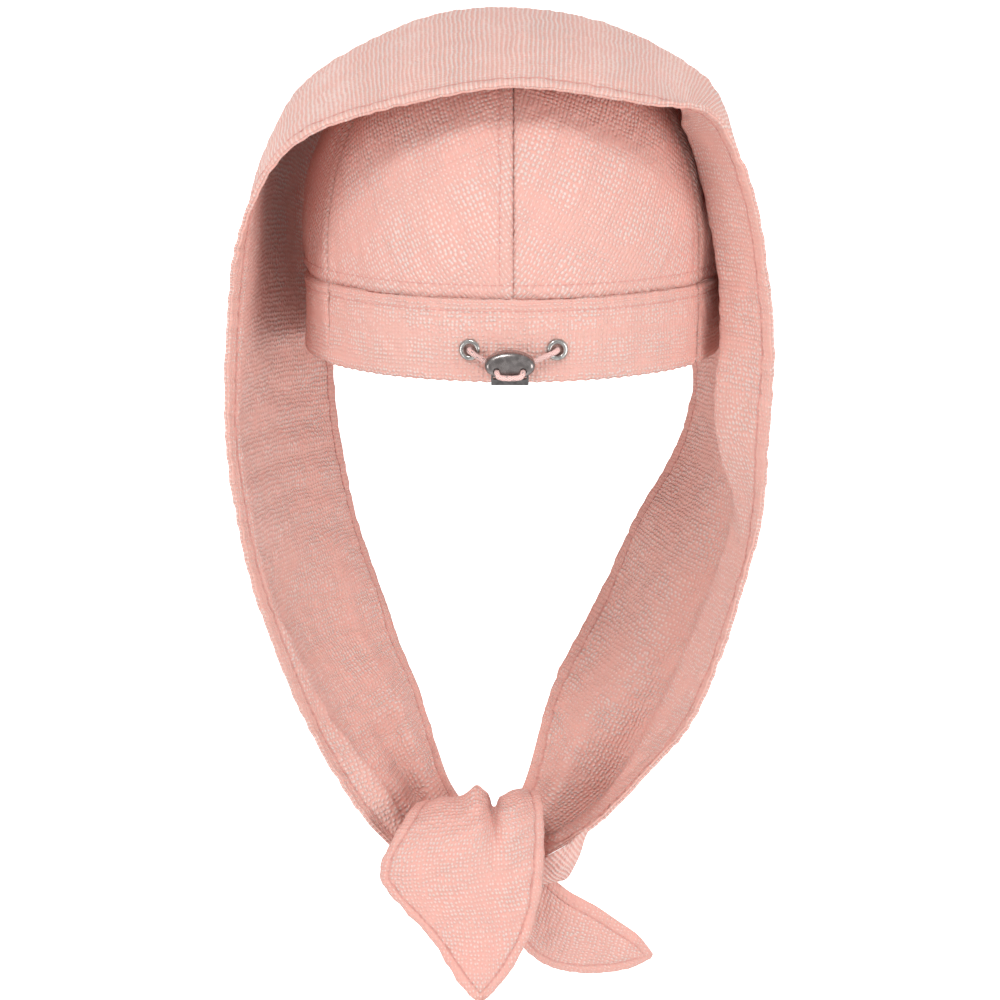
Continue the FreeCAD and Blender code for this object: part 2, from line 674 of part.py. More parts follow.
scarf_ties = []
for layer, outer_depth in (("outer", 0.0), ("lining", size("scarf_cloth"))):
    scarf_piece("scarf_%s_hood" % layer, HOOD_STATIONS, outer_depth)
    for side, stations in TIE_STATIONS.items():
        scarf_ties.append(scarf_piece("scarf_%s_tie_%s" % (layer, side), stations, outer_depth))

# ---------------------------------------------------------------- knot and tails
SIDE_TAIL_LEAN = Vector(0, 0.35, 0.94)


def tail(label, stations, upright):
    """A flat tapering end: each station is its centre, half width and half thickness."""
    rings = []
    for index, (centre, half_width, half_thick) in enumerate(stations):
        ring = doc.addObject("Part::Ellipse", "%s_ring_%d" % (label, index))
        ring.MajorRadius = half_width
        ring.MinorRadius = half_thick
        heading = Vector(0, 0, 1) if upright else Vector(1, 0, 0)
        long_axis = Vector(1, 0, 0) if upright else SIDE_TAIL_LEAN
        ring.Placement = FreeCAD.Placement(
            Vector(*centre), FreeCAD.Rotation(long_axis, Vector(), heading, "ZXY")
        )
        rings.append(ring)
    return loft(label, rings)


tail_left = keep(tail("scarf_tail_left", [
    ((-18, -20, -224), 26, 5),
    ((-19, -24, -240), 24, 5),
    ((-17, -28, -258), 18, 5),
    ((-15, -30, -273), 9, 4),
    ((-14, -31, -284), 3, 3),
], True), "scarf_tail_left")
keep(tail("scarf_tail_right", [
    ((15, 3, -249), 17, 4),
    ((26, 6, -258), 19, 5),
    ((44, 11, -269), 13, 4),
    ((60, 15, -279), 4, 3),
], False), "scarf_tail_right")

# The left tie wraps over the right one: a wide front roll, and the right tie's gathers behind it.
KNOT_BALL = Vector(-14, -13, -208)
KNOT_CORE = Vector(6, -2, -214)
knot_ball = doc.addObject("Part::Ellipsoid", "knot_ball")
bind(knot_ball, Radius1="dims.knot_half_tall", Radius2="dims.knot_half_width", Radius3="dims.knot_half_deep")
knot_ball.Placement.Base = KNOT_BALL
knot_core = doc.addObject("Part::Ellipsoid", "knot_core")
bind(knot_core, Radius1="dims.core_half_tall", Radius2="dims.core_half_wide", Radius3="dims.core_half_wide")
knot_core.Placement.Base = KNOT_CORE
knot_mass = fuse("knot_mass", [knot_ball, knot_core])
knot_above_tail = cut("knot_above_tail", knot_mass, tail_left)
keep(cut("scarf_knot", knot_above_tail, compound("knot_ties", scarf_ties)), "scarf_knot")

# ---------------------------------------------------------------- checks and files
doc.recompute()
for obj in doc.Objects:
    bad = [state for state in obj.State if state in ("Invalid", "Error")]
    if bad:
        raise RuntimeError("%s (%s) failed: %s" % (obj.Name, obj.Label, bad))

os.makedirs("parts", exist_ok=True)
for obj in kept:
    shape = obj.Shape
    if shape.isNull() or not shape.isValid() or not shape.Solids:
        raise RuntimeError("%s has no valid solid" % obj.Label)
    bounds = shape.BoundBox
    print(
        "%-26s solids %d volume %9.1f  x %7.1f %7.1f  y %7.1f %7.1f  z %7.1f %7.1f" % (
            obj.Label, len(shape.Solids), shape.Volume, bounds.XMin, bounds.XMax,
            bounds.YMin, bounds.YMax, bounds.ZMin, bounds.ZMax,
        )
    )
for obj in kept:
    obj.Shape.exportStep(os.path.join("parts", obj.Label + ".step"))
print("%d sub-parts" % len(kept))
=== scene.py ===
"""The look of the scarf hat: puckered pink cotton, stitched hems, a braided drawcord and its metal lock."""

import math

import bpy
import numpy as np
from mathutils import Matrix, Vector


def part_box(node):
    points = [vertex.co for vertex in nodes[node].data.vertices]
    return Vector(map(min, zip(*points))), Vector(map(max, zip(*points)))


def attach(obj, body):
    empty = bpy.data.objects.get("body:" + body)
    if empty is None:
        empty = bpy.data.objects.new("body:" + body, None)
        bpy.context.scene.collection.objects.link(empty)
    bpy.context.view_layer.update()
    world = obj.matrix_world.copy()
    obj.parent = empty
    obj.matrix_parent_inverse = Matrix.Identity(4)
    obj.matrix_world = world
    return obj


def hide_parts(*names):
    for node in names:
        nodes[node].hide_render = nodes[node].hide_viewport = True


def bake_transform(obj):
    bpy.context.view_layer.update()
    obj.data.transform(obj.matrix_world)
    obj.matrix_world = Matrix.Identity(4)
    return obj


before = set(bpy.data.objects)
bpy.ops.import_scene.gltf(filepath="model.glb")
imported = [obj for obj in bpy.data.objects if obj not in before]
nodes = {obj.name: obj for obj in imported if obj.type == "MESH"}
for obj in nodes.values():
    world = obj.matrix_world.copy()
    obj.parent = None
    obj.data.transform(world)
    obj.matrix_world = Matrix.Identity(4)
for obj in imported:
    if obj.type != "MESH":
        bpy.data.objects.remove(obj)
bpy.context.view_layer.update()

MM = 0.001
FABRIC_LAYER = "fabric"
EDGE_LAYER = "from_edge"
HEM = 5.6
collection = bpy.context.scene.collection


# ------------------------------ camera, floor and light
CAMERA_PLACE = (-0.0054, -1.3, 0.1957)
CAMERA_LOOKS_DOWN = 0.2
WORLD_LIGHT = 0.64
WHITE = (1.0, 1.0, 1.0, 1.0)
# Each light's name, place, aim, side in metres, power in watts and colour.
LIGHTS = (
    ("key", (-0.5, -1.5, 1.75), (0.0, -0.06, 0.0), 0.65, 20.0, (1.0, 0.985, 0.97)),
    ("left_fill", (-1.7, -1.45, -0.3), (0.0, 0.0, -0.1), 1.0, 14.0, (1.0, 0.985, 0.975)),
    ("right_fill", (1.65, -1.5, -0.2), (0.0, 0.0, -0.1), 1.0, 18.5, (1.0, 0.985, 0.975)),
)


def set_inputs(node, **values):
    """Sets a node's inputs, whose names are written with _ for each space."""
    for name, value in values.items():
        node.inputs[name.replace("_", " ")].default_value = value


def add_camera():
    """A long lens behind the hat, a little above it and looking slightly down."""
    data = bpy.data.cameras.new("camera")
    data.lens = 110
    data.sensor_width = 36
    camera = bpy.data.objects.new("camera", data)
    camera.location = CAMERA_PLACE
    camera.rotation_euler = (math.radians(90) - CAMERA_LOOKS_DOWN, 0, 0)
    collection.objects.link(camera)
    bpy.context.scene.camera = camera


def add_area_light(name, place, aim, side, power, colour):
    data = bpy.data.lights.new(name, "AREA")
    data.shape = "SQUARE"
    data.size = side
    data.energy = power
    data.color = colour
    light = bpy.data.objects.new(name, data)
    direction = np.array(aim, float) - np.array(place, float)
    light.location = place
    yaw = math.atan2(direction[0], -direction[1])
    drop = math.atan2(math.hypot(direction[0], direction[1]), -direction[2])
    light.rotation_euler = (drop, 0, yaw + math.pi)
    collection.objects.link(light)


def add_world(strength):
    world = bpy.data.worlds.new("studio")
    world.use_nodes = True
    set_inputs(world.node_tree.nodes["Background"], Color=WHITE, Strength=strength)
    bpy.context.scene.world = world


def add_stage_sheet(name, corners, grey, glow):
    """A plain matt sheet that isn't part of the hat, lit by itself when glow is above 0."""
    mesh = bpy.data.meshes.new(name)
    mesh.from_pydata(corners, [], [(0, 1, 2, 3)])
    sheet = bpy.data.objects.new(name, mesh)
    collection.objects.link(sheet)
    material = bpy.data.materials.new(name + "_paper")
    material.use_nodes = True
    set_inputs(
        material.node_tree.nodes["Principled BSDF"],
        Base_Color=(grey, grey, grey, 1.0), Roughness=0.95, Specular_IOR_Level=0.0,
        Emission_Color=WHITE, Emission_Strength=glow,
    )
    mesh.materials.append(material)


def add_stage():
    """A pale floor far below the hat and a lit white backdrop on its far side from the camera."""
    level = -1.7
    reach = 12.0
    back = 3.6
    half = 3.4
    top = 2.6
    floor = [(-reach, -reach, level), (reach, -reach, level), (reach, reach, level), (-reach, reach, level)]
    backdrop = [(-half, back, level), (half, back, level), (half, back, top), (-half, back, top)]
    add_stage_sheet("floor", floor, 0.95, 0.0)
    add_stage_sheet("backdrop", backdrop, 0.9, 0.95)


add_camera()
add_stage()
add_world(WORLD_LIGHT)
for light_settings in LIGHTS:
    add_area_light(*light_settings)
bpy.context.scene.view_settings.view_transform = "Standard"


# ------------------------------ materials
class Shading:
    """A material whose nodes are added by short calls."""

    def __init__(self, name):
        self.material = bpy.data.materials.new(name)
        self.material.use_nodes = True
        self.tree = self.material.node_tree
        self.shader = self.tree.nodes["Principled BSDF"]

    def node(self, kind, inputs=(), **settings):
        """A new node with its settings made and its inputs fed, by name or by number."""
        node = self.tree.nodes.new(kind)
        for key, value in settings.items():
            setattr(node, key, value)
        for key, value in dict(inputs).items():
            self.feed(node.inputs[key], value)
        return node

    def feed(self, socket, value):
        """Links an output to a socket, or sets the socket to a number or colour."""
        if isinstance(value, bpy.types.NodeSocket):
            self.tree.links.new(value, socket)
        else:
            socket.default_value = value

    def calc(self, operation, *values):
        return self.node("ShaderNodeMath", enumerate(values), operation=operation).outputs[0]

    def times(self, first, second):
        return self.calc("MULTIPLY", first, second)

    def linear(self, value, slope, start):
        """value times slope, plus start."""
        return self.calc("MULTIPLY_ADD", value, slope, start)

    def inverse(self, value):
        """1 less the value."""
        return self.calc("SUBTRACT", 1.0, value)

    def vector(self, x, y, z=0.0):
        return self.node("ShaderNodeCombineXYZ", enumerate((x, y, z))).outputs[0]

    def split(self, vector):
        return self.node("ShaderNodeSeparateXYZ", {0: vector}).outputs

    def noise(self, vector, scale, detail=2.0):
        inputs = {"Vector": vector, "Scale": scale, "Detail": detail}
        return self.node("ShaderNodeTexNoise", inputs).outputs["Fac"]

    def cells(self, across, along, size, **settings):
        """Voronoi cells of that width and length."""
        place = self.vector(self.calc("DIVIDE", across, size[0]), self.calc("DIVIDE", along, size[1]))
        inputs = {"Vector": place, "Scale": 1.0}
        return self.node("ShaderNodeTexVoronoi", inputs, voronoi_dimensions="2D", **settings)

    def wave(self, value, period):
        """A smooth wave from 0 to 1 with that period."""
        return self.linear(self.calc("SINE", self.linear(value, 2 * math.pi / period, 0.0)), 0.5, 0.5)

    def between(self, value, low, high):
        """0 below low, 1 above high, smooth between."""
        inputs = {"Value": value, "From Min": low, "From Max": high}
        return self.node("ShaderNodeMapRange", inputs, interpolation_type="SMOOTHSTEP").outputs["Result"]

    def mix(self, amount, first, second):
        inputs = {"Factor": amount, "A": first, "B": second}
        return self.node("ShaderNodeMix", inputs, data_type="RGBA").outputs["Result"]

    def fabric(self, layer=FABRIC_LAYER):
        """Place on the cloth in millimetres, across and along."""
        return self.node("ShaderNodeUVMap", uv_map=layer).outputs["UV"]

    def place(self):
        return self.node("ShaderNodeTexCoord").outputs["Object"]

    def paint(self, colour, roughness, height, depth, strength, **constants):
        """Feeds the shader its colour, roughness, a bump of that height and depth, and constants."""
        bump = self.node("ShaderNodeBump", {"Height": height, "Distance": depth, "Strength": strength})
        self.feed(self.shader.inputs["Normal"], bump.outputs["Normal"])
        self.feed(self.shader.inputs["Base Color"], colour)
        self.feed(self.shader.inputs["Roughness"], roughness)
        set_inputs(self.shader, **constants)
        return self.material


TOP_HIGHLIGHT = (0.900, 0.700, 0.655, 1.0)
MIDDLE = (0.868, 0.605, 0.553, 1.0)
VALLEY_SHADE = (0.800, 0.425, 0.365, 1.0)
CHECK_LINE = (0.825, 0.500, 0.445, 1.0)
SEAM_SHADE = (0.66, 0.30, 0.25, 1.0)


def seersucker(name, bubble, bubbles, rib, ribs, checks, periods):
    """Puckered cotton: rows of small bubbles, ribs across the cloth and groups of flat darker lines, with
    painted shade in the low places between bubbles and painted highlight on the bubble tops.
    bubble is a bubble's width and length, rib and periods are from rib to rib and from group to group.
    bubbles, ribs and checks say how strong each of the three is."""
    s = Shading(name)
    fabric = s.fabric()
    x, y, _ = s.split(fabric)
    across = s.linear(s.noise(fabric, 0.03), 3.0, x)
    along = s.linear(s.noise(s.vector(y, x), 0.06), 2.4, y)
    from_edge = s.split(s.fabric(EDGE_LAYER))[0]
    open_cloth = s.between(from_edge, HEM - 0.6, HEM + 0.8)
    before_seam = s.between(from_edge, HEM - 0.9, HEM - 0.1)
    seam_line = s.times(before_seam, s.between(from_edge, HEM + 0.7, HEM))

    cells = s.cells(across, along, bubble, feature="SMOOTH_F1")
    cells.inputs["Smoothness"].default_value = 0.35
    cells.inputs["Randomness"].default_value = 0.42
    dome = s.inverse(s.between(cells.outputs["Distance"], -0.12, 0.62))
    weave = s.times(s.wave(across, 0.66), s.wave(along, 0.58))

    group_across = s.between(s.wave(across, periods[0]), 0.6, 0.9)
    group_along = s.between(s.wave(along, periods[1]), 0.6, 0.9)
    lines_across = s.times(group_across, s.wave(across, 1.9))
    lines_along = s.times(group_along, s.wave(along, 1.9))
    lines = s.calc("MAXIMUM", lines_across, lines_along)
    flat = s.times(s.calc("MAXIMUM", group_across, group_along), 0.22 * checks)

    patches = s.between(s.noise(fabric, 0.05), 0.32, 0.62)
    swell = s.times(s.linear(patches, 0.45, 0.55), s.linear(open_cloth, 0.35, 0.65))
    height = s.times(s.times(s.times(dome, swell), s.inverse(flat)), bubbles)
    height = s.linear(s.wave(along, rib), 0.4 * ribs, height)
    height = s.linear(weave, 0.10, height)
    height = s.linear(s.noise(fabric, 0.9, 4.0), 0.12, height)
    height = s.linear(lines, -0.22 * checks, height)
    height = s.linear(seam_line, -0.35, height)

    # Painted shade and highlight: the colour follows the bump's height, darker and redder in the low places
    # between bubbles and paler on the bubble tops.
    top = bubbles * 0.8 + 0.4 * ribs + 0.15
    shade = s.between(height, 0.12 * top, 0.95 * top)
    colour = s.mix(s.between(shade, 0.0, 0.55), VALLEY_SHADE, MIDDLE)
    colour = s.mix(s.between(shade, 0.35, 1.0), colour, TOP_HIGHLIGHT)
    colour = s.mix(s.times(lines, 0.4 * checks), colour, CHECK_LINE)
    # Painted shade: the hem strip, between the edge and its stitching, is darkened a little.
    colour = s.mix(s.times(s.inverse(open_cloth), 0.1), colour, VALLEY_SHADE)
    colour = s.mix(s.times(seam_line, 0.3), colour, SEAM_SHADE)
    colour = s.mix(s.times(s.noise(fabric, 0.02, 3.0), 0.16), colour, MIDDLE)
    return s.paint(
        colour, s.linear(weave, 0.1, 0.8), height, 0.0008, 0.95,
        Sheen_Weight=0.04, Sheen_Roughness=0.5, Specular_IOR_Level=0.12,
        Subsurface_Weight=0.15, Subsurface_Scale=0.004, Subsurface_Radius=(1.0, 0.3, 0.22),
    )


def thread_material():
    """Sewing thread, twisted. Painted shade: it is coloured darker than the cloth, for the shadowed dimples
    of the stitches, and darker still in the grooves of its twist.
    """
    s = Shading("pink_thread")
    x, _, z = s.split(s.place())
    twist = s.wave(s.calc("ADD", x, z), 0.00045)
    # Painted shade: darker than the cloth, and darkest in the grooves of the twist.
    colour = s.mix(twist, (0.66, 0.27, 0.235, 1.0), (0.85, 0.46, 0.41, 1.0))
    rough = s.linear(twist, 0.1, 0.6)
    return s.paint(colour, rough, twist, 0.00008, 0.6, Specular_IOR_Level=0.3, Sheen_Weight=0.1)


def twill_material():
    """Cotton tape with a fine diagonal rib."""
    s = Shading("pink_twill")
    across, along, _ = s.split(s.fabric())
    rib = s.wave(s.calc("ADD", across, along), 0.9)
    speckle = s.noise(s.fabric(), 1.4, 3.0)
    colour = s.mix(rib, (0.78, 0.47, 0.42, 1.0), (0.91, 0.66, 0.61, 1.0))
    colour = s.mix(s.times(speckle, 0.2), colour, (0.70, 0.38, 0.34, 1.0))
    rough = s.linear(speckle, 0.15, 0.75)
    height = s.linear(speckle, 0.3, rib)
    return s.paint(colour, rough, height, 0.00015, 0.7, Sheen_Weight=0.12, Specular_IOR_Level=0.25)


def satin_material():
    """A blank woven label."""
    s = Shading("label_satin")
    across, along, _ = s.split(s.fabric())
    floats = s.times(s.wave(across, 0.35), s.wave(along, 0.9))
    colour = s.mix(floats, (0.86, 0.84, 0.81, 1.0), (0.95, 0.94, 0.92, 1.0))
    return s.paint(colour, s.linear(floats, 0.15, 0.35), floats, 0.00005, 0.5, Sheen_Weight=0.1)


def interlining_material():
    """Pressed fibres with no weave."""
    s = Shading("interlining")
    fibres = s.noise(s.fabric(), 0.9, 6.0)
    colour = s.mix(fibres, (0.82, 0.79, 0.75, 1.0), (0.93, 0.91, 0.88, 1.0))
    return s.paint(colour, s.linear(fibres, 0.1, 0.85), fibres, 0.0001, 0.6)


def metal_material(name, dark, light, rough, grain, wear):
    """Plated metal with fine scratches and slightly worn, uneven plating."""
    s = Shading(name)
    x, y, z = s.split(s.place())
    stretched = s.vector(s.times(x, 260.0), s.times(y, 260.0), s.times(z, 1900.0))
    scratches = s.noise(stretched, 1.0, 4.0)
    cloudy = s.noise(s.place(), 420.0, 3.0)
    colour = s.mix(s.between(cloudy, 0.3, 0.7), dark, light)
    return s.paint(colour, s.linear(cloudy, wear, rough), scratches, 0.00002, grain, Metallic=1.0)


def cord_material():
    """Braided cotton: crossing strands, pink with a few grey flecks."""
    s = Shading("pink_braid")
    across, along, _ = s.split(s.fabric())
    right = s.wave(s.calc("ADD", across, along), 1.15)
    left = s.wave(s.calc("SUBTRACT", across, along), 1.15)
    strands = s.calc("MAXIMUM", right, left)
    flecks = s.cells(across, along, (1.1, 1.6))
    chosen = s.between(s.split(flecks.outputs["Color"])[0], 0.76, 0.8)
    fleck = s.times(chosen, s.inverse(s.between(flecks.outputs["Distance"], 0.15, 0.4)))
    # Painted shade: the cord is coloured darker in the grooves between its strands.
    colour = s.mix(strands, (0.60, 0.24, 0.21, 1.0), (0.95, 0.68, 0.64, 1.0))
    colour = s.mix(fleck, colour, (0.24, 0.20, 0.21, 1.0))
    rough = s.linear(strands, 0.1, 0.7)
    return s.paint(colour, rough, strands, 0.00012, 0.8, Sheen_Weight=0.15, Specular_IOR_Level=0.25)


HOOD_CLOTH = seersucker("seersucker_scarf", (1.5, 1.9), 0.5, 2.0, 1.1, 0.3, (31.0, 31.0))
LINING_CLOTH = seersucker("seersucker_lining", (1.7, 2.1), 1.1, 2.1, 0.12, 0.5, (27.0, 23.0))
CROWN_CLOTH = seersucker("seersucker_crown", (2.2, 1.7), 0.95, 1.7, 0.35, 0.8, (47.0, 16.5))
BAND_CLOTH = seersucker("seersucker_band", (1.7, 1.7), 0.95, 1.6, 0.3, 0.8, (17.0, 13.0))
THREAD = thread_material()
TWILL = twill_material()
SATIN = satin_material()
INTERLINING = interlining_material()
CORD_BRAID = cord_material()
COTTON = "seersucker_cotton"


# ------------------------------ mesh helpers
def mesh_piece(name, points, faces, fabric, material, slot, replaced=(), body="root"):
    """A smooth mesh piece from points in millimetres, riding on a body unless that is None.
    fabric holds each point's place on the cloth, across and along, and its distance from a hemmed edge.
    replaced names the CAD nodes that the piece replaces."""
    mesh = bpy.data.meshes.new(name)
    mesh.from_pydata((points * MM).tolist(), [], faces.tolist())
    layer = mesh.uv_layers.new(name=FABRIC_LAYER)
    corners = fabric[faces.ravel()]
    layer.data.foreach_set("uv", corners[:, :2].ravel().astype(np.float32))
    if fabric.shape[1] > 2:
        edge = mesh.uv_layers.new(name=EDGE_LAYER)
        edge.data.foreach_set("uv", corners[:, [2, 2]].ravel().astype(np.float32))
    mesh.shade_smooth()
    mesh.materials.append(material)
    mesh.update()
    piece = bpy.data.objects.new(name, mesh)
    collection.objects.link(piece)
    if body:
        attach(piece, body)
    if replaced:
        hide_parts(*replaced)
    return piece


def unit(vectors):
    return vectors / np.maximum(np.linalg.norm(vectors, axis=-1, keepdims=True), 1e-9)


def grid_normals(points):
    """Unit normals of a grid, along the cross product of its row and column directions."""
    return unit(np.cross(np.gradient(points, axis=0), np.gradient(points, axis=1)))


def outward_normals(points, heart):
    """Unit normals that point away from the heart."""
    normals = grid_normals(points)
    away = np.sum(normals * (points - heart), axis=-1).mean()
    return normals if away > 0 else -normals


def running_length(points, axis):
    """Distance along that axis of a grid, from its first row or column."""
    steps = np.linalg.norm(np.diff(points, axis=axis), axis=-1)
    start = np.zeros_like(np.take(steps, [0], axis=axis))
    return np.cumsum(np.concatenate([start, steps], axis=axis), axis=axis)


def along_middle(points):
    """Distance along the grid's middle column, as a column."""
    return running_length(points, 0)[:, [points.shape[1] // 2]]


FAR_FROM_EDGE = 100.0


def fabric_places(points, turn=0.0, from_edge=FAR_FROM_EDGE):
    """Millimetres across and along the cloth, turned by that many degrees, and from its hemmed edge."""
    across = running_length(points, 1)
    across = across - across[:, [points.shape[1] // 2]]
    along = along_middle(points)
    cos = math.cos(math.radians(turn))
    sin = math.sin(math.radians(turn))
    from_edge = from_edge + 0 * across
    return np.stack([across * cos - along * sin, across * sin + along * cos, from_edge], axis=-1)


def cloth_ripples(points, seed, longest, shortest):
    """Ripples over a grid's own cloth."""
    u, v, _ = np.moveaxis(fabric_places(points), -1, 0)
    return ripples(u, v, seed, longest, shortest)


def cloth_shell(outer, normals, thickness, fabric, present=None, ring=False):
    """Points, faces and fabric places of a closed cloth between a grid and the same grid set in.
    ring joins the last column to the first; present says which cells of the grid exist."""
    rows, columns = outer.shape[:2]
    last = columns if ring else columns - 1
    if present is None:
        present = np.ones((rows - 1, last), bool)
    index = np.arange(rows * columns).reshape(rows, columns)
    across = (np.arange(last) + 1) % columns
    a = index[:-1, :last]
    b = index[1:, :last]
    c = index[1:][:, across]
    d = index[:-1][:, across]
    inner = rows * columns
    front = np.stack([a, b, c, d], axis=-1)[present]
    back = np.stack([d, c, b, a], axis=-1)[present] + inner
    faces = [front, back]
    padded = np.pad(present, ((1, 1), (0, 0)))
    padded = np.pad(padded, ((0, 0), (1, 1)), mode="wrap" if ring else "constant")
    open_sides = (
        (padded[:-2, 1:-1], a, d), (padded[2:, 1:-1], c, b),
        (padded[1:-1, :-2], b, a), (padded[1:-1, 2:], d, c),
    )
    for beyond, begin, end in open_sides:
        edge = present & ~beyond
        wall = np.stack([begin[edge], end[edge], end[edge] + inner, begin[edge] + inner], axis=-1)
        faces.append(wall)
    points = np.concatenate([outer.reshape(-1, 3), (outer - normals * thickness).reshape(-1, 3)])
    flat_places = fabric.reshape(-1, fabric.shape[-1])
    places = np.concatenate([flat_places, flat_places])
    faces = np.concatenate(faces)
    used = np.unique(faces)
    renumber = np.zeros(len(points), int)
    renumber[used] = np.arange(len(used))
    return points[used], renumber[faces], places[used]


def joined(parts):
    """Several (points, faces, fabric) sets as one."""
    points, faces, places = zip(*parts)
    starts = np.cumsum([0] + [len(each) for each in points[:-1]])
    moved = [each + start for each, start in zip(faces, starts)]
    return np.concatenate(points), np.concatenate(moved), np.concatenate(places)


def tube_faces(rings, sides, closed=False):
    """Quads that join rings of points in order, and the last ring to the first when closed."""
    here = np.arange(rings * sides).reshape(rings, sides)
    beside = np.roll(here, -1, axis=1)
    quads = np.stack([here, beside, np.roll(beside, -1, axis=0), np.roll(here, -1, axis=0)], axis=-1)
    return (quads if closed else quads[:-1]).reshape(-1, 4)


def circle(count):
    """That many even angles round a circle, in radians."""
    return np.linspace(0, 2 * math.pi, count + 1)[:-1]


def wave(values, period, phase=0.0):
    return np.sin(2 * math.pi * values / period + phase)


def ripples(u, v, seed, longest, shortest, count=7):
    """A smooth uneven field of about -1 to 1 over millimetres u and v."""
    random = np.random.default_rng(seed)
    total = np.zeros_like(u)
    for _ in range(count):
        length = random.uniform(shortest, longest)
        heading = random.uniform(0, 2 * math.pi)
        phase = random.uniform(0, 2 * math.pi)
        total += wave(u * math.cos(heading) + v * math.sin(heading), length, phase)
    return total / math.sqrt(count)


def rise(values, low, high):
    """0 below low, 1 above high, smooth between; low may be above high."""
    amount = np.clip((values - low) / (high - low), 0.0, 1.0)
    return amount * amount * (3 - 2 * amount)


def mound(values, middle, width):
    return np.exp(-(((values - middle) / width) ** 2))


def smooth_through(rows, per_span):
    """A natural cubic curve through the rows, with that many steps to each span."""
    rows = np.asarray(rows, float)
    count = len(rows)
    system = 4 * np.eye(count) + np.eye(count, k=1) + np.eye(count, k=-1)
    system[[0, -1]] = np.eye(count)[[0, -1]]
    target = np.zeros_like(rows)
    target[1:-1] = 6 * (rows[2:] - 2 * rows[1:-1] + rows[:-2])
    bend = np.linalg.solve(system, target)
    spans = np.arange((count - 1) * per_span + 1) / per_span
    at = np.minimum(spans.astype(int), count - 2)
    t = (spans - at)[:, None]
    s = 1 - t
    straight = s * rows[at] + t * rows[at + 1]
    return straight + (s ** 3 - s) * bend[at] / 6 + (t ** 3 - t) * bend[at + 1] / 6


def sample(rows, distance, wanted):
    """The rows' values at those distances along them."""
    return np.stack([np.interp(wanted, distance, column) for column in rows.T], axis=-1)


def evenly(rows, ruler, count):
    """The rows resampled at even distances along their ruler column of points."""
    distance = running_length(ruler, 0)
    wanted = np.linspace(0, distance[-1], count)
    flat = rows.reshape(len(rows), -1)
    return sample(flat, distance, wanted).reshape((count,) + rows.shape[1:])


STITCH_SIDES = 6
STITCH_PROFILE = ((0.0, 0.3), (0.22, 1.0), (0.78, 1.0), (1.0, 0.3))


def stitch_row(path, normals, stitch=2.3, gap=0.8, radius=0.24, lift=0.08):
    """Small capsules of thread laid along a path, each following the surface."""
    distance = running_length(path, 0)
    starts = np.arange(gap, distance[-1] - stitch, stitch + gap)
    begin = sample(path, distance, starts)
    end = sample(path, distance, starts + stitch)
    up = unit(sample(normals, distance, starts + stitch / 2))
    along = unit(end - begin)
    side = unit(np.cross(along, up))
    rings = []
    for share, swell in STITCH_PROFILE:
        centre = begin + (end - begin) * share + up * lift
        for corner in range(STITCH_SIDES):
            angle = 2 * math.pi * corner / STITCH_SIDES
            rings.append(centre + (side * math.cos(angle) + up * math.sin(angle)) * radius * swell)
    points = np.stack(rings, axis=1)
    per_stitch = len(STITCH_PROFILE) * STITCH_SIDES
    last = per_stitch - STITCH_SIDES
    ends = [(3, 2, 1, 0), (5, 4, 3, 0)]
    ends += [(last, last + 1, last + 2, last + 3), (last, last + 3, last + 4, last + 5)]
    quads = np.concatenate([tube_faces(len(STITCH_PROFILE), STITCH_SIDES), ends])
    offsets = np.arange(len(starts))[:, None, None] * per_stitch
    faces = (quads[None] + offsets).reshape(-1, 4)
    places = np.zeros((points.shape[0] * per_stitch, 2))
    return points.reshape(-1, 3), faces, places


def stitches(name, rows):
    """One piece of thread for several rows of stitches."""
    return mesh_piece(name, *joined(rows), THREAD, COTTON)


# ------------------------------ sizes read from the frame
band_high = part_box("band_front")[1]
panel_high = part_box("crown_panel_back_left")[1]
HALF_WIDTH = band_high.x / MM
HALF_DEPTH = band_high.y / MM
BAND_TOP = band_high.z / MM
CROWN_TOP = panel_high.z / MM
CROWN_RISE = CROWN_TOP - BAND_TOP
EYELET_LEVEL = sum(corner.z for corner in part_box("eyelet_left")) / 2 / MM
EYELET_EAST = 17.4
EYELET_HOLE = 3.4
CLOTH = 1.2
HEAD_HEART = np.array([0.0, 0.0, 40.0])
BAND_HEART = np.array([0.0, 0.0, 16.0])
UP = np.array([0.0, 0.0, 1.0])
LEVEL_PART = np.array([1.0, 1.0, 0.0])
TOWARDS_CAMERA = np.array([0.0, -1.0, 0.0])


def oval_point(turn, inset, level):
    """Points of the head's oval at angles in degrees, set in, at a level."""
    angle = np.radians(turn)
    return np.stack([
        (HALF_WIDTH - inset) * np.cos(angle) + 0 * level,
        (HALF_DEPTH - inset) * np.sin(angle) + 0 * level,
        level + 0 * angle,
    ], axis=-1)


CROWN_POWER = 0.8


def crown_point(turn, climb, inset=0.0):
    """Points of the crown: turn round the oval and climb up it, both in degrees."""
    up = np.radians(climb)
    level = BAND_TOP + (CROWN_RISE - inset) * np.sin(up) ** CROWN_POWER
    points = oval_point(turn, inset, level)
    points[..., :2] *= (np.cos(up) ** CROWN_POWER)[..., None]
    return points


# ------------------------------ crown
PANEL_SPAN = 60.0
FIRST_PANEL_START = 210.0
PANELS = ("back_left", "back_right", "right", "front_right", "front_left", "left")
PANEL_GRAIN = 60.0
PANEL_COLUMNS = 84
PANEL_ROWS = 92
PANEL_ROW_SPREAD = 1.08
PANEL_TOP_CLIMB = 88.6
CROWN_STITCH_IN = 5.6
crown_stitches = []


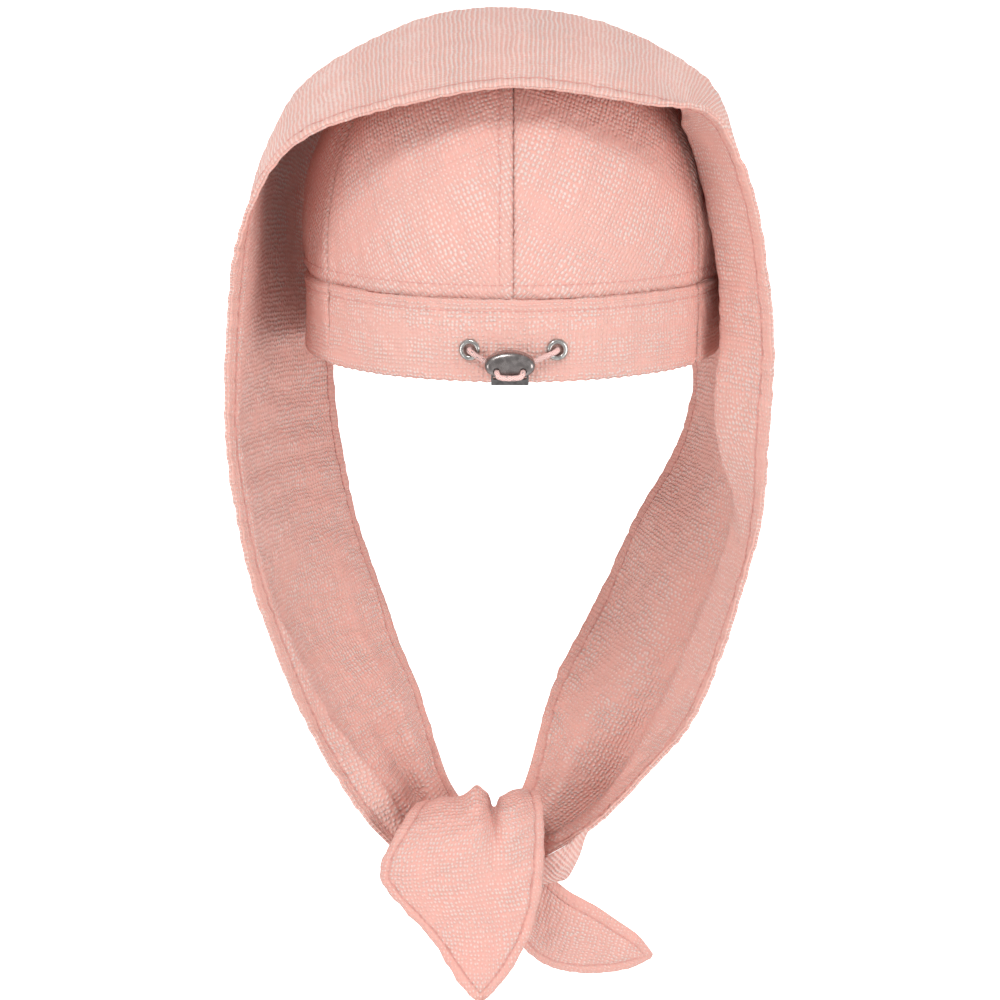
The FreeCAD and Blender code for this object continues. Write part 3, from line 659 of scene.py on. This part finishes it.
def crown_panel(name, start, grain):
    """One panel, puffed a little between its seams, with its topstitching."""
    share = np.linspace(0, 1, PANEL_COLUMNS)
    climbs = np.linspace(0, 1, PANEL_ROWS) ** PANEL_ROW_SPREAD * PANEL_TOP_CLIMB
    points = crown_point(*np.meshgrid(start + PANEL_SPAN * share, climbs))
    normals = outward_normals(points, HEAD_HEART)
    from_start = running_length(points, 1)
    width = from_start[:, [-1]]
    from_end = width - from_start
    to_seam = np.minimum(from_start, from_end)
    up = running_length(points, 0)
    puff = 1.7 * np.sqrt(np.clip(4 * from_start * from_end / np.maximum(width, 1) ** 2, 0, 1))
    puff *= rise(up, 0, 26) * rise(width, 4, 40)
    seam = -0.6 * mound(to_seam, 0, 0.9)
    allowance = 0.28 * mound(to_seam, 3.0, 2.2)
    stitch_dent = -0.28 * mound(from_end, CROWN_STITCH_IN, 0.9)
    hem_dent = -0.3 * mound(up, CROWN_STITCH_IN, 0.9)
    tuck = -0.9 * mound(up, 0, 1.6)
    uneven = 0.5 * cloth_ripples(points, int(start) + 3, 60, 24)
    uneven += 0.16 * cloth_ripples(points, int(start) + 5, 9, 5)
    uneven *= rise(to_seam, 0, 9)
    pucker = 0.22 * wave(up, 4.6, start) * mound(to_seam, 2.2, 2.2)
    pucker += 0.22 * wave(from_start, 4.9) * mound(up, 2.4, 2.4)
    shift = puff + seam + allowance + stitch_dent + hem_dent + tuck + uneven + pucker
    points = points + normals * shift[..., None]
    normals = outward_normals(points, HEAD_HEART)
    shell = cloth_shell(points, normals, CLOTH * 0.9, fabric_places(points, grain))
    mesh_piece(name + "_cloth", *shell, CROWN_CLOTH, COTTON, [name])
    row = np.argmin(np.abs(along_middle(points) - CROWN_STITCH_IN))
    crown_stitches.append(stitch_row(points[row], normals[row]))
    rows = np.arange(2, PANEL_ROWS - 8)
    columns = np.argmin(np.abs(from_end[rows] - CROWN_STITCH_IN), axis=1)
    crown_stitches.append(stitch_row(points[rows, columns], normals[rows, columns]))


for place, side in enumerate(PANELS):
    panel_start = (FIRST_PANEL_START + PANEL_SPAN * place) % 360
    crown_panel("crown_panel_" + side, panel_start, PANEL_GRAIN * (-1) ** place)
stitches("crown_topstitching", crown_stitches)


def seam_tapes():
    """Twill tapes over the crown's inner seams, ending short of the button."""
    arms = []
    for turn in (30, 90, 150, 210, 270, 330):
        climb = np.linspace(0.5, 80.0, 60)
        centre = crown_point(np.full_like(climb, turn), climb, CLOTH + 0.05)
        outward = unit(centre * LEVEL_PART)
        side = np.cross(UP, outward)
        offsets = np.linspace(-5.8, 5.8, 9)
        points = centre[:, None] + side[:, None] * offsets[None, :, None]
        points -= outward[:, None] * (0.002 * offsets ** 2)[None, :, None]
        normals = outward_normals(points, HEAD_HEART)
        arms.append(cloth_shell(points, normals, 0.5, fabric_places(points)))
    mesh_piece("crown_tape_twill", *joined(arms), TWILL, "cotton_twill", ["crown_seam_tapes"])


seam_tapes()


def covered_button():
    """A shallow dome covered in cloth, with small gathers round its edge."""
    radius = 6.5
    base = CROWN_TOP - 1.2
    rise_to_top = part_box("top_button")[1].z / MM - base + 0.3
    out, turn = np.meshgrid(np.linspace(0.02, 1, 16), circle(60), indexing="ij")
    gather = 0.12 * np.sin(14 * turn) * out ** 3
    level = base + rise_to_top * np.sqrt(np.clip(1 - out ** 2.6, 0, 1)) + gather
    points = np.stack([radius * out * np.cos(turn), radius * out * np.sin(turn), level], axis=-1)
    fabric = points.copy()
    fabric[..., 2] = FAR_FROM_EDGE
    shell = cloth_shell(points, np.zeros_like(points) + UP, 0.9, fabric, ring=True)
    mesh_piece("top_button_cloth", *shell, CROWN_CLOTH, COTTON, ["top_button"])


covered_button()

# ------------------------------ band
BAND_STITCH_DOWN = 4.8
band_stitches = []


def band_shape(start, end, columns, seed, gather=0.0):
    """A stretch of the band between two angles: rounded edges, dents for its stitching and puckers."""
    rows = 34
    turn, level = np.meshgrid(np.linspace(start, end, columns), np.linspace(BAND_TOP, 0, rows))
    points = oval_point(turn, 0.0, level)
    normals = outward_normals(points, BAND_HEART)
    along = running_length(points, 1)
    from_top = BAND_TOP - level
    ends = np.minimum(along, along[:, [-1]] - along)
    shift = -1.0 * mound(from_top, 0, 1.6) - 0.75 * mound(level, 0, 1.3) - 1.1 * mound(ends, 0, 1.1)
    shift += -0.3 * mound(from_top, BAND_STITCH_DOWN, 0.9)
    shift += 0.35 * mound(from_top, 2.4, 1.6) + 0.2 * mound(level, 2.2, 1.8)
    shift += 0.2 * wave(along, 4.7) * mound(from_top, 2.4, 2.4)
    shift += 0.16 * ripples(along, level, seed, 10, 5)
    shift += 0.3 * ripples(along, level, seed + 1, 60, 25)
    middle = along[:, [-1]] / 2
    near_cord = mound(along, middle, 34) * mound(level, 13, 9)
    shift += gather * ripples(along, level * 0.15, seed + 2, 9, 5) * near_cord
    points = points + normals * shift[..., None]
    points[..., 2] += 0.22 * wave(along, 5.1) * rise(level, 3, 0)
    return points, outward_normals(points, BAND_HEART)


def band_piece(name, start, end, columns, seed, gather, holes):
    """A stretch of the band as cloth, with a round hole at each of those places."""
    points, normals = band_shape(start, end, columns, seed, gather)
    centres = (points[:-1, :-1] + points[1:, 1:]) / 2
    present = np.ones(centres.shape[:2], bool)
    for east, level in holes:
        present &= np.hypot(centres[..., 0] - east, centres[..., 2] - level) > EYELET_HOLE
    shell = cloth_shell(points, normals, CLOTH, fabric_places(points), present)
    mesh_piece(name + "_cloth", *shell, BAND_CLOTH, COTTON, [name])
    row = int(round(BAND_STITCH_DOWN / BAND_TOP * (points.shape[0] - 1)))
    band_stitches.append(stitch_row(points[row], normals[row]))


EYELET_PLACES = ((-EYELET_EAST, EYELET_LEVEL), (EYELET_EAST, EYELET_LEVEL))
band_piece("band_back", 210.0, 330.0, 190, 21, 0.3, EYELET_PLACES)
band_piece("band_front", -30.0, 210.0, 330, 31, 0.0, ())
stitches("band_topstitching", band_stitches)


def ring_from_profile(profile, columns=240):
    """A closed ring: the profile's (inset, level) points carried round the head's oval."""
    turns = np.linspace(0, 360, columns + 1)[:-1]
    outline = np.array(profile)
    rings = [oval_point(turns, inset, np.full_like(turns, level)) for inset, level in outline]
    points = np.stack(rings)
    faces = tube_faces(len(outline), columns, closed=True)
    round_way = running_length(points[0], 0)
    step = np.linalg.norm(np.diff(outline, axis=0), axis=1)
    height = np.concatenate([[0], np.cumsum(step)])
    places = np.stack(np.meshgrid(round_way, height), axis=-1).reshape(-1, 2)
    return points.reshape(-1, 3), faces, places


def sweatband():
    """Folded tape with a padded middle, stitched down near the band's edge."""
    low = 0.25
    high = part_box("sweatband")[1].z / MM
    profile = [(1.5, low + 0.4), (2.2, low), (3.4, low + 0.2), (4.3, low + 1.6), (4.0, low + 3.2)]
    for share in np.linspace(0.0, 1.0, 12):
        swell = 4.6 + 0.9 * math.sin(math.pi * share) ** 0.6
        profile.append((swell, low + 4.6 + share * (high - low - 6.4)))
    profile += [(4.3, high - 0.9), (3.4, high), (2.0, high), (1.5, high - 0.5)]
    ring = ring_from_profile(profile)
    mesh_piece("sweatband_twill", *ring, TWILL, "cotton_twill", ["sweatband"])
    turns = np.linspace(0, 360, 400)
    path = oval_point(turns, 4.05, np.full_like(turns, low + 3.3))
    stitches("sweatband_stitching", [stitch_row(path, unit(-path * LEVEL_PART))])


sweatband()


def care_label():
    """A blank folded ribbon hanging from the sweatband's upper edge, a little curled."""
    low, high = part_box("care_label")
    columns = np.linspace(low.x, high.x, 30) / MM
    east, up = np.meshgrid(columns, np.linspace(high.z, low.z, 18) / MM)
    fall = (high.z / MM - up) / (high.z - low.z) * MM
    north = low.y / MM + 0.2 + 1.1 * fall ** 2 + 0.003 * east ** 2
    points = np.stack([east, north, up], axis=-1)
    normals = np.zeros_like(points) + TOWARDS_CAMERA
    shell = cloth_shell(points, normals, -0.35, fabric_places(points))
    mesh_piece("care_label_satin", *shell, SATIN, "label_satin", ["care_label"])


care_label()

# ------------------------------ brim
BRIM_MIDDLE = 62.0
BRIM_HALF = 74.0
BRIM_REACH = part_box("brim_upper")[1].y / MM - BRIM_MIDDLE
BRIM_SLOPE = 17.0 / 48.0
BRIM_ROWS = 5
BRIM_STITCH_SHARES = [(row + 1) / (BRIM_ROWS + 0.35) for row in range(BRIM_ROWS)]
BRIM_ROOT_TURN = math.radians(55.9)
BRIM_EDGE_TURN = math.radians(94.0)
BRIM_CLOTH = 0.8
# The brim's normals point up, away from this place far below it.
BRIM_BELOW = np.array([0.0, 100.0, -1000.0])
brim_stitches = []


def brim_surface(columns, rows, edge=1.0):
    """The brim from the band's oval out to its own outline, falling evenly away from the head."""
    share, out = np.meshgrid(np.linspace(-1, 1, columns), np.linspace(0, edge, rows))
    inner = np.stack([
        HALF_WIDTH * np.sin(share * BRIM_ROOT_TURN),
        HALF_DEPTH * np.cos(share * BRIM_ROOT_TURN),
    ])
    outer = np.stack([
        BRIM_HALF * np.sin(share * BRIM_EDGE_TURN),
        BRIM_MIDDLE + BRIM_REACH * np.cos(share * BRIM_EDGE_TURN),
    ])
    east, north = inner + (outer - inner) * out
    level = -(np.hypot(east, north) - HALF_DEPTH) * BRIM_SLOPE
    level += 0.9 * np.sin(share * 9) * out ** 2
    return np.stack([east, north, level], axis=-1), out


def brim_layer(name, material, slot, drop, thickness, edge=1.0):
    """One layer of the brim, that far below its upper face; edge is its share of the brim's reach."""
    points, out = brim_surface(150, 44, edge)
    normals = outward_normals(points, BRIM_BELOW)
    dents = sum(mound(out, share, 0.012) for share in BRIM_STITCH_SHARES)
    shift = -drop - 0.25 * dents + 0.1 * cloth_ripples(points, 61, 12, 6) - 0.35 * rise(out, 0.97, 1.0)
    points = points + normals * shift[..., None]
    shell = cloth_shell(points, normals, thickness, fabric_places(points, 45.0))
    mesh_piece(name + "_cloth", *shell, material, slot, [name])
    return points, normals


upper, upper_normals = brim_layer("brim_upper", CROWN_CLOTH, COTTON, 0.0, BRIM_CLOTH)
brim_layer("brim_interlining", INTERLINING, "stiffener", 0.95, 0.7, 0.965)
lower, lower_normals = brim_layer("brim_lower", CROWN_CLOTH, COTTON, 1.75, BRIM_CLOTH)
for share in BRIM_STITCH_SHARES:
    row = int(round(share * (upper.shape[0] - 1)))
    inside = slice(3, -3)
    brim_stitches.append(stitch_row(upper[row, inside], upper_normals[row, inside]))
    below = -lower_normals[row, inside]
    brim_stitches.append(stitch_row(lower[row, inside] + below * BRIM_CLOTH, below))
stitches("brim_topstitching", brim_stitches)

# ------------------------------ scarf
# Each station crosses the scarf: a point on its rear edge, on its ridge and on its front edge.
LEFT_TIE = [
    ((-24, -4, -238), (-19, 4, -232), (-12, 11, -217)),
    ((-55, -8, -219), (-46, 8, -214), (-29, 18, -198)),
    ((-80, -22, -181), (-66, 8, -181), (-38, 34, -167)),
    ((-95, -38, -142), (-82, 3, -145), (-48.5, 40, -137)),
    ((-107, -50, -106), (-95, 0, -109), (-60, 46, -104)),
    ((-115, -61, -62), (-104, -4, -67), (-71, 49, -68)),
    ((-118, -68, -24), (-108, -6, -28), (-79.5, 50, -32)),
]
HOOD = [
    ((-116.5, -72, 16), (-108, -4, 12), (-84, 56, 6)),
    ((-113, -75, 47), (-106, 0, 54), (-87, 57, 40)),
    ((-106, -78, 69), (-102, 0, 82), (-85, 58, 62)),
    ((-89, -86, 93), (-90, -2, 109), (-77, 62, 88)),
    ((-62, -93, 106), (-66, -4, 127), (-61, 70, 104)),
    ((-34, -97, 113), (-36, -6, 139), (-34, 80, 113)),
    ((0, -99, 118), (0, -8, 144), (0, 85, 116)),
    ((33, -98, 114), (36, -6, 138), (34, 80, 113)),
    ((60, -94, 110.5), (64, -4, 126), (61, 70, 104)),
    ((80, -86, 106), (84, -2, 111), (77, 62, 88)),
    ((93, -79, 82), (93, 0, 88), (84, 58, 62)),
    ((101, -75, 52), (98, 0, 56), (87, 57, 40)),
    ((106, -72, 12), (101, -4, 12), (84, 56, 6)),
]
RIGHT_TIE = [
    ((106, -67, -22), (99, -6, -22), (80, 50, -24)),
    ((104, -58, -60), (95, -4, -61), (70, 49, -58)),
    ((98, -50, -94), (85, 0, -95), (56, 47, -84)),
    ((90, -42, -126), (73, 3, -126), (42, 44, -112)),
    ((78, -32, -159), (60, 6, -159), (26, 39, -145)),
    ((60, -20, -184), (45, 9, -187), (15, 32, -171)),
    ((37, -10, -212), (26, 6, -212), (6, 17, -199)),
    ((5, -5, -233), (3, 3, -227), (-3, 11, -213)),
]
SCARF_PITCH = 2.3
SCARF_COLUMNS = 78
SCARF_LAYER = 1.05


def scarf_surface():
    """The outer face of the scarf with its folds, as a grid along and across it."""
    stations = np.array(LEFT_TIE + HOOD + RIGHT_TIE, float)
    dense = smooth_through(stations.reshape(len(stations), -1), 24).reshape(-1, 3, 3)
    length = running_length(dense[:, 1], 0)[-1]
    rows = evenly(dense, dense[:, 1], int(length / SCARF_PITCH))
    rear, ridge, front = [rows[:, None, k] for k in range(3)]
    share = np.linspace(0, 1, SCARF_COLUMNS)[None, :, None]
    pull = ridge * 2 - (rear + front) / 2
    points = rear * (1 - share) ** 2 + pull * 2 * share * (1 - share) + front * share ** 2
    heart = np.zeros_like(ridge)
    heart[..., 2] = np.minimum(ridge[..., 2], HEAD_HEART[2])
    normals = outward_normals(points, heart)
    return points, normals, heart, share[..., 0], ridge[:, :, 2], ridge[:, :, 0]


def scarf_folds(points, share, height, east):
    """How far the cloth stands out from its smooth shape, in millimetres."""
    across = running_length(points, 1)
    along = along_middle(points) + 0 * across
    from_edge = np.minimum(across, across[:, [-1]] - across)
    left = rise(east, 20, -20)
    right = 1 - left
    below = rise(height, 20, -30)

    hem = 0.3 * mound(from_edge, 3.0, 2.2) - 0.45 * mound(from_edge, HEM, 0.9)
    hem_pucker = 0.13 * wave(along, 4.4, 1.5 * ripples(across, along, 5, 60, 30))
    hem = hem + hem_pucker * mound(from_edge, 2.5, 4.0)
    soft = 1.9 * ripples(across, along, 11, 120, 55) * (0.35 + 0.65 * below)
    soft *= 0.4 + 0.6 * rise(from_edge, 0, 15)
    small = 0.3 * ripples(across, along, 12, 13, 7)
    rolls = 0.45 * wave(along, 17.0, ripples(across, along, 13, 90, 50)) * below * left
    rolls = rolls * rise(from_edge, 4, 18)

    # Right tie: the cloth beside the rear edge turns in against the crown, then folds outwards.
    fold_depth = 19.0 * rise(height, 134, 108) * rise(height, -92, -28) * right
    turned_in = np.minimum(share / 0.17, np.maximum(0.0, (0.40 - share) / 0.23))
    fold = -fold_depth * np.minimum(turned_in, 0.94)
    crease = 3.2 * rise(share, 0.80, 1.0) * right * rise(height, 0, -25) * rise(height, -170, -120)
    valley = 9.0 * mound(share, 0.52, 0.10) * right * rise(height, -30, -90) * rise(height, -230, -190)
    # Left tie: its front edge turns away.
    turned = 9.0 * np.clip((share - 0.8) / 0.2, 0, 1) * left
    turned = turned * rise(height, -25, -90) * rise(height, -210, -185)
    # Beside its rear edge the left tie turns in, so the hem faces back, and more so near the knot.
    strip = 7.0 + 6.0 * rise(height, -120, -185)
    flare = -(4.2 + 2.5 * rise(height, -90, -170)) * np.clip(across / strip, 0, 1)
    flare = flare * rise(share, 0.55, 0.12) * rise(height, 95, 40) * left
    # Both ties gather into the knot.
    near_knot = rise(height, -150, -205)
    gathers = 2.2 * np.sin(2 * math.pi * 3.2 * share + 0.8) * near_knot * left
    gathers += (3.0 * mound(share, 0.5, 0.12) - 2.5 * mound(share, 0.76, 0.06)) * near_knot * right
    # The hood is tacked to the crown behind the button and puckers round the tack.
    tack_place = np.array([0.0, -66.0, 126.0])
    to_tack = np.linalg.norm(points - tack_place, axis=-1)
    ray = np.arctan2(points[..., 2] - tack_place[2], points[..., 0] - tack_place[0])
    tack = -2.2 * mound(to_tack, 0, 5.0) + 0.35 * np.sin(7 * ray) * mound(to_tack, 9, 6)
    return hem + soft + small + rolls + fold + crease + valley + turned + flare + gathers + tack


def hem_path(points, from_edge, distance):
    """The line on the grid at that distance from an edge."""
    place = []
    for row, inwards in zip(points, from_edge):
        order = np.argsort(inwards)
        place.append(sample(row[order], inwards[order], distance))
    return np.array(place)


def scarf():
    """Two layers of cloth, one over the other, hemmed together along both edges."""
    points, normals, heart, share, height, east = scarf_surface()
    points = points + normals * scarf_folds(points, share, height, east)[..., None]
    normals = outward_normals(points, heart)
    width = running_length(points, 1)
    fabric = fabric_places(points, 0.0, np.minimum(width, width[:, [-1]] - width))
    names = (("scarf_outer", HOOD_CLOTH, 0.0), ("scarf_lining", LINING_CLOTH, SCARF_LAYER))
    pieces = []
    for name, material, depth in names:
        shell = cloth_shell(points - normals * depth, normals, SCARF_LAYER - 0.05, fabric)
        replaced = [name + part for part in ("_hood", "_tie_left", "_tie_right")]
        pieces.append(mesh_piece(name + "_cloth", *shell, material, COTTON, replaced))
    rows = []
    for from_edge in (width, width[:, [-1]] - width):
        outside = hem_path(points, from_edge, HEM)
        facing = unit(hem_path(normals, from_edge, HEM))
        rows.append(stitch_row(outside, facing))
        rows.append(stitch_row(outside - facing * 2 * SCARF_LAYER, -facing))
    stitches("scarf_hem_stitching", rows)
    return pieces


scarf_outer, scarf_lining = scarf()

# ------------------------------ knot and tails
# The left tie's end comes over the top in a roll and falls as a pointed tail in front.
# Each row is its left point, its right point and how far its middle stands out towards the back.
WRAP_ROWS = [
    ((-30, 2, -214), (6, 6, -212), 2.0),
    ((-38, -4, -206), (10, 0, -203), 4.0),
    ((-43, -13, -203), (12, -8, -197), 6.0),
    ((-47, -21, -206), (13, -15, -198), 9.0),
    ((-53, -25, -214), (13.5, -19, -206), 11.0),
    ((-58, -25, -226), (14, -20, -218), 11.0),
    ((-56, -26, -235), (13.5, -21, -230), 9.0),
    ((-47, -28, -245), (12, -23, -243), 6.5),
    ((-37, -30, -257), (8, -26, -257), 4.0),
    ((-28, -31, -270), (0, -29, -271), 2.0),
    ((-20, -32, -281), (-8, -31, -281), 0.8),
    ((-15.5, -32, -285), (-12.5, -32, -285), 0.2),
]
TAIL_ROWS = [
    ((4, -3, -228), (-2, 4, -262), 3.0),
    ((14, -2, -235), (4, 6, -273), 4.0),
    ((25, -1, -245), (14, 9, -283), 4.5),
    ((37, 2, -253), (27, 12, -288), 4.0),
    ((48, 6, -262), (42, 15, -289), 2.5),
    ((57, 10, -270), (54, 16, -288), 1.2),
    ((64, 16, -281), (62.5, 18, -284.5), 0.2),
]
LEAF_PITCH = 1.3
TWO_LAYERS = 1.9


def leaf_grid(rows, columns, crown):
    """A pointed cloth end through its rows, bulging towards the camera between its edges."""
    flat = np.array([list(left) + list(right) + [bulge] for left, right, bulge in rows], float)
    dense = smooth_through(flat, 16)
    middle = (dense[:, :3] + dense[:, 3:6]) / 2
    count = int(running_length(middle, 0)[-1] / LEAF_PITCH)
    even = evenly(dense, middle, count)
    share = np.linspace(0, 1, columns)[None, :, None]
    left = even[:, None, :3]
    right = even[:, None, 3:6]
    points = left + (right - left) * share
    points = points + TOWARDS_CAMERA * even[:, None, 6:7] * (4 * share * (1 - share)) ** crown
    return points, share[..., 0] + 0 * points[..., 0]


def leaf_piece(name, points, normals, replaced):
    """Two layers sewn round: one closed cloth with a hem stitched near its edges."""
    across = running_length(points, 1)
    to_tip = along_middle(points[::-1])[::-1]
    from_edge = np.minimum(np.minimum(across, across[:, [-1]] - across), to_tip + 2)
    shift = 0.35 * mound(from_edge, 2.6, 2.0) - 0.4 * mound(from_edge, HEM, 0.9)
    shift += 0.14 * wave(running_length(points, 0), 4.4) * mound(from_edge, 2.0, 4.0)
    shift += 0.25 * cloth_ripples(points, 71, 14, 7) + 0.5 * cloth_ripples(points, 72, 50, 25)
    points = points + normals * shift[..., None]
    shell = cloth_shell(points, normals, TWO_LAYERS, fabric_places(points, 0.0, from_edge))
    piece = mesh_piece(name, *shell, LINING_CLOTH, COTTON, replaced)
    rows = []
    wide = across[:, -1] > 2.4 * HEM
    for distance in (across, across[:, [-1]] - across):
        path = hem_path(points[wide], distance[wide], HEM)
        facing = unit(hem_path(normals[wide], distance[wide], HEM))
        rows.append(stitch_row(path, facing))
    return piece, rows


def facing_camera(points):
    normals = grid_normals(points)
    return normals if (normals @ TOWARDS_CAMERA).mean() > 0 else -normals


def knot_wrap():
    """The roll over the knot: two humps with a notch between, and a gather falling from the notch."""
    points, share = leaf_grid(WRAP_ROWS, 72, 0.7)
    normals = facing_camera(points)
    level = np.linspace(0, 1, points.shape[0])[:, None] + 0 * share
    top = mound(level, 0.14, 0.09)
    east = points[..., 0]
    humps = 4.5 * mound(east, -30, 12) + 8.0 * mound(east, -15.5, 5.0) + 5.0 * mound(east, 2, 7.5)
    notch = -8.0 * mound(east, -8.0, 1.7)
    points[..., 2] += (humps + notch) * top
    valley_fade = rise(level, 0.52, 0.2)
    gather = 7.0 * mound(east, -7.8, 2.6) - 2.6 * mound(east, -15, 5) - 3.0 * mound(east, 1, 6)
    points[..., 1] += gather * valley_fade
    slanting = east + 0.5 * (points[..., 2] + 226)
    points[..., 1] += 2.2 * mound(slanting, -34, 7) * mound(level, 0.42, 0.16)
    normals = facing_camera(points)
    replaced = ["scarf_knot", "scarf_tail_left"]
    return leaf_piece("knot_wrap_and_left_tail", points, normals, replaced)


def right_tail():
    points, _ = leaf_grid(TAIL_ROWS, 44, 0.8)
    return leaf_piece("right_tail_cloth", points, facing_camera(points), ["scarf_tail_right"])


# The right tie is drawn under the roll, and a turned corner of it shows below its rear edge.
TURNED_ROWS = [
    ((37, -8, -210), (36, -7, -212), 0.2),
    ((31, -9, -215), (32, -6, -221), 1.0),
    ((25, -10, -220), (27, -6, -234), 1.6),
    ((16, -9, -226), (21, -4, -240), 2.0),
    ((6, -6, -231), (10, -2, -243), 1.5),
]


def turned_corner():
    points, _ = leaf_grid(TURNED_ROWS, 26, 0.8)
    normals = facing_camera(points)
    points = points + normals * (0.4 * cloth_ripples(points, 81, 16, 8))[..., None]
    shell = cloth_shell(points, normals, TWO_LAYERS, fabric_places(points, 25.0))
    mesh_piece("right_tie_turned_corner", *shell, HOOD_CLOTH, COTTON)


def knot_core():
    """The gathered cloth inside the knot, seen from the front and below, where the ties go into it."""
    middle = np.array([-13.0, 4.0, -224.0])
    half_size = np.array([25.0, 16.0, 14.5])
    tilt = 0.25
    polar, turn = np.meshgrid(np.radians(np.linspace(3, 177, 60)), circle(90), indexing="ij")
    swell = 1.0 + 0.055 * np.sin(8 * turn + 2.2 * np.cos(polar)) * np.sin(polar)
    along = np.cos(polar) * half_size[0]
    out = np.cos(turn) * np.sin(polar) * half_size[1] * swell
    up = np.sin(turn) * np.sin(polar) * half_size[2] * swell + along * tilt
    points = middle + np.stack([along, out, up], axis=-1)
    normals = outward_normals(points, middle)
    shell = cloth_shell(points, normals, 1.0, fabric_places(points), ring=True)
    mesh_piece("knot_core_cloth", *shell, LINING_CLOTH, COTTON)


wrap_piece, wrap_rows = knot_wrap()
knot_core()
tail_piece, tail_rows = right_tail()
turned_corner()
stitches("tail_hem_stitching", wrap_rows + tail_rows)

# ------------------------------ drawcord
CORD_RADIUS = 1.1
LOCK_MIDDLE = -1.5
TUNNEL_TURNS = (212.5, 219, 226, 233, 240, 247, 253)
# Each point near the lock: beside its middle, out from the band's rear point, and up.
NEAR_LOCK = (
    (9.5, 1.8, 8.9),
    (5.2, 1.6, 6.5),
    (5.2, 15.6, 6.1),
    (4.2, 16.0, 4.3),
)


def cord_route():
    """From the left side seam, out of one eyelet, through the lock and back the same way."""
    north = -HALF_DEPTH * math.sqrt(1 - (EYELET_EAST / HALF_WIDTH) ** 2)
    turn = math.atan2(EYELET_EAST / HALF_WIDTH ** 2, -north / HALF_DEPTH ** 2)
    outwards = np.array([-math.sin(turn), -math.cos(turn), 0.0])
    eyelet = np.array([-EYELET_EAST, north, EYELET_LEVEL])
    half = [oval_point(np.float64(angle), 3.3, np.float64(EYELET_LEVEL)) for angle in TUNNEL_TURNS]
    half += [eyelet - outwards * 3.3, eyelet + outwards * 3.2]
    mirror = np.array([-1.0, 1.0, 1.0])

    def near_lock(way):
        middle = np.array([LOCK_MIDDLE, -HALF_DEPTH, 0.0])
        return [middle + (way * side, -front, up) for side, front, up in NEAR_LOCK]

    return half + near_lock(-1) + near_lock(1)[::-1] + [point * mirror for point in half[::-1]]


def cord_line():
    """Points along a smooth NURBS curve through the route."""
    curve = bpy.data.curves.new("cord_line", "CURVE")
    curve.dimensions = "3D"
    curve.resolution_u = 24
    spline = curve.splines.new("NURBS")
    route = cord_route()
    spline.points.add(len(route) - 1)
    for control, point in zip(spline.points, route):
        control.co = (point[0] * MM, point[1] * MM, point[2] * MM, 1.0)
    spline.order_u = 3
    spline.use_endpoint_u = True
    holder = bpy.data.objects.new("cord_line", curve)
    mesh = bpy.data.meshes.new_from_object(holder)
    line = np.array([vertex.co[:] for vertex in mesh.vertices]) / MM
    bpy.data.objects.remove(holder)
    bpy.data.meshes.remove(mesh)
    bpy.data.curves.remove(curve)
    return line


def drawcord():
    """A round braid whose strands stand out along its length."""
    line = cord_line()
    count = int(running_length(line, 0)[-1] / 0.42)
    line = evenly(line, line, count)
    heading = unit(np.gradient(line, axis=0))
    side = np.zeros_like(heading)
    side[0] = unit(np.cross(heading[0], [0.0, 0.0, 1.0]))
    for i in range(1, count):
        carried = side[i - 1] - heading[i] * np.dot(side[i - 1], heading[i])
        side[i] = unit(carried)
    up = np.cross(heading, side)
    turns = circle(24)
    along = running_length(line, 0)[:, None]
    twist = along * 2.9
    strand = np.maximum(np.sin(4 * turns[None] + twist), np.sin(4 * turns[None] - twist))
    radius = CORD_RADIUS * (0.93 + 0.07 * strand)
    around = side[:, None] * np.cos(turns)[None, :, None]
    around = around + up[:, None] * np.sin(turns)[None, :, None]
    points = line[:, None] + around * radius[..., None]
    rows, columns = points.shape[:2]
    index = np.arange(rows * columns).reshape(rows, columns)
    caps = []
    for ring in (index[0][::-1], index[-1]):
        caps += [(ring[0], ring[k], ring[k + 1], ring[k + 2]) for k in range(1, columns - 2, 2)]
    around_way = turns[None] * CORD_RADIUS * 1.33 + 0 * along
    places = np.stack([around_way, along * 0.8 + 0 * turns[None]], axis=-1).reshape(-1, 2)
    faces = np.concatenate([tube_faces(rows, columns), caps])
    shell = (points.reshape(-1, 3), faces, places)
    piece = mesh_piece("drawcord_braid", *shell, CORD_BRAID, "pink_cord", ["drawcord"], None)
    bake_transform(piece)


drawcord()

# ------------------------------ metal parts keep their CAD shapes
# Each metal's name, dark and light colour, roughness, scratch depth, unevenness and CAD nodes.
METALS = (
    ("bright_nickel", (0.34, 0.33, 0.32, 1), (0.58, 0.57, 0.55, 1), 0.18, 0.35, 0.14,
     ("eyelet_left", "eyelet_right", "eyelet_washer_left", "eyelet_washer_right")),
    ("gunmetal_plate", (0.21, 0.188, 0.183, 1), (0.36, 0.325, 0.318, 1), 0.2, 0.4, 0.12,
     ("cord_lock_shell",)),
    ("dark_plate", (0.13, 0.125, 0.125, 1), (0.22, 0.21, 0.21, 1), 0.34, 0.5, 0.16,
     ("cord_lock_plunger",)),
    ("spring_wire", (0.45, 0.45, 0.45, 1), (0.64, 0.64, 0.64, 1), 0.28, 0.3, 0.1,
     ("cord_lock_spring",)),
)
for *metal_settings, metal_nodes in METALS:
    metal = metal_material(*metal_settings)
    for node_name in metal_nodes:
        nodes[node_name].data.materials.clear()
        nodes[node_name].data.materials.append(metal)
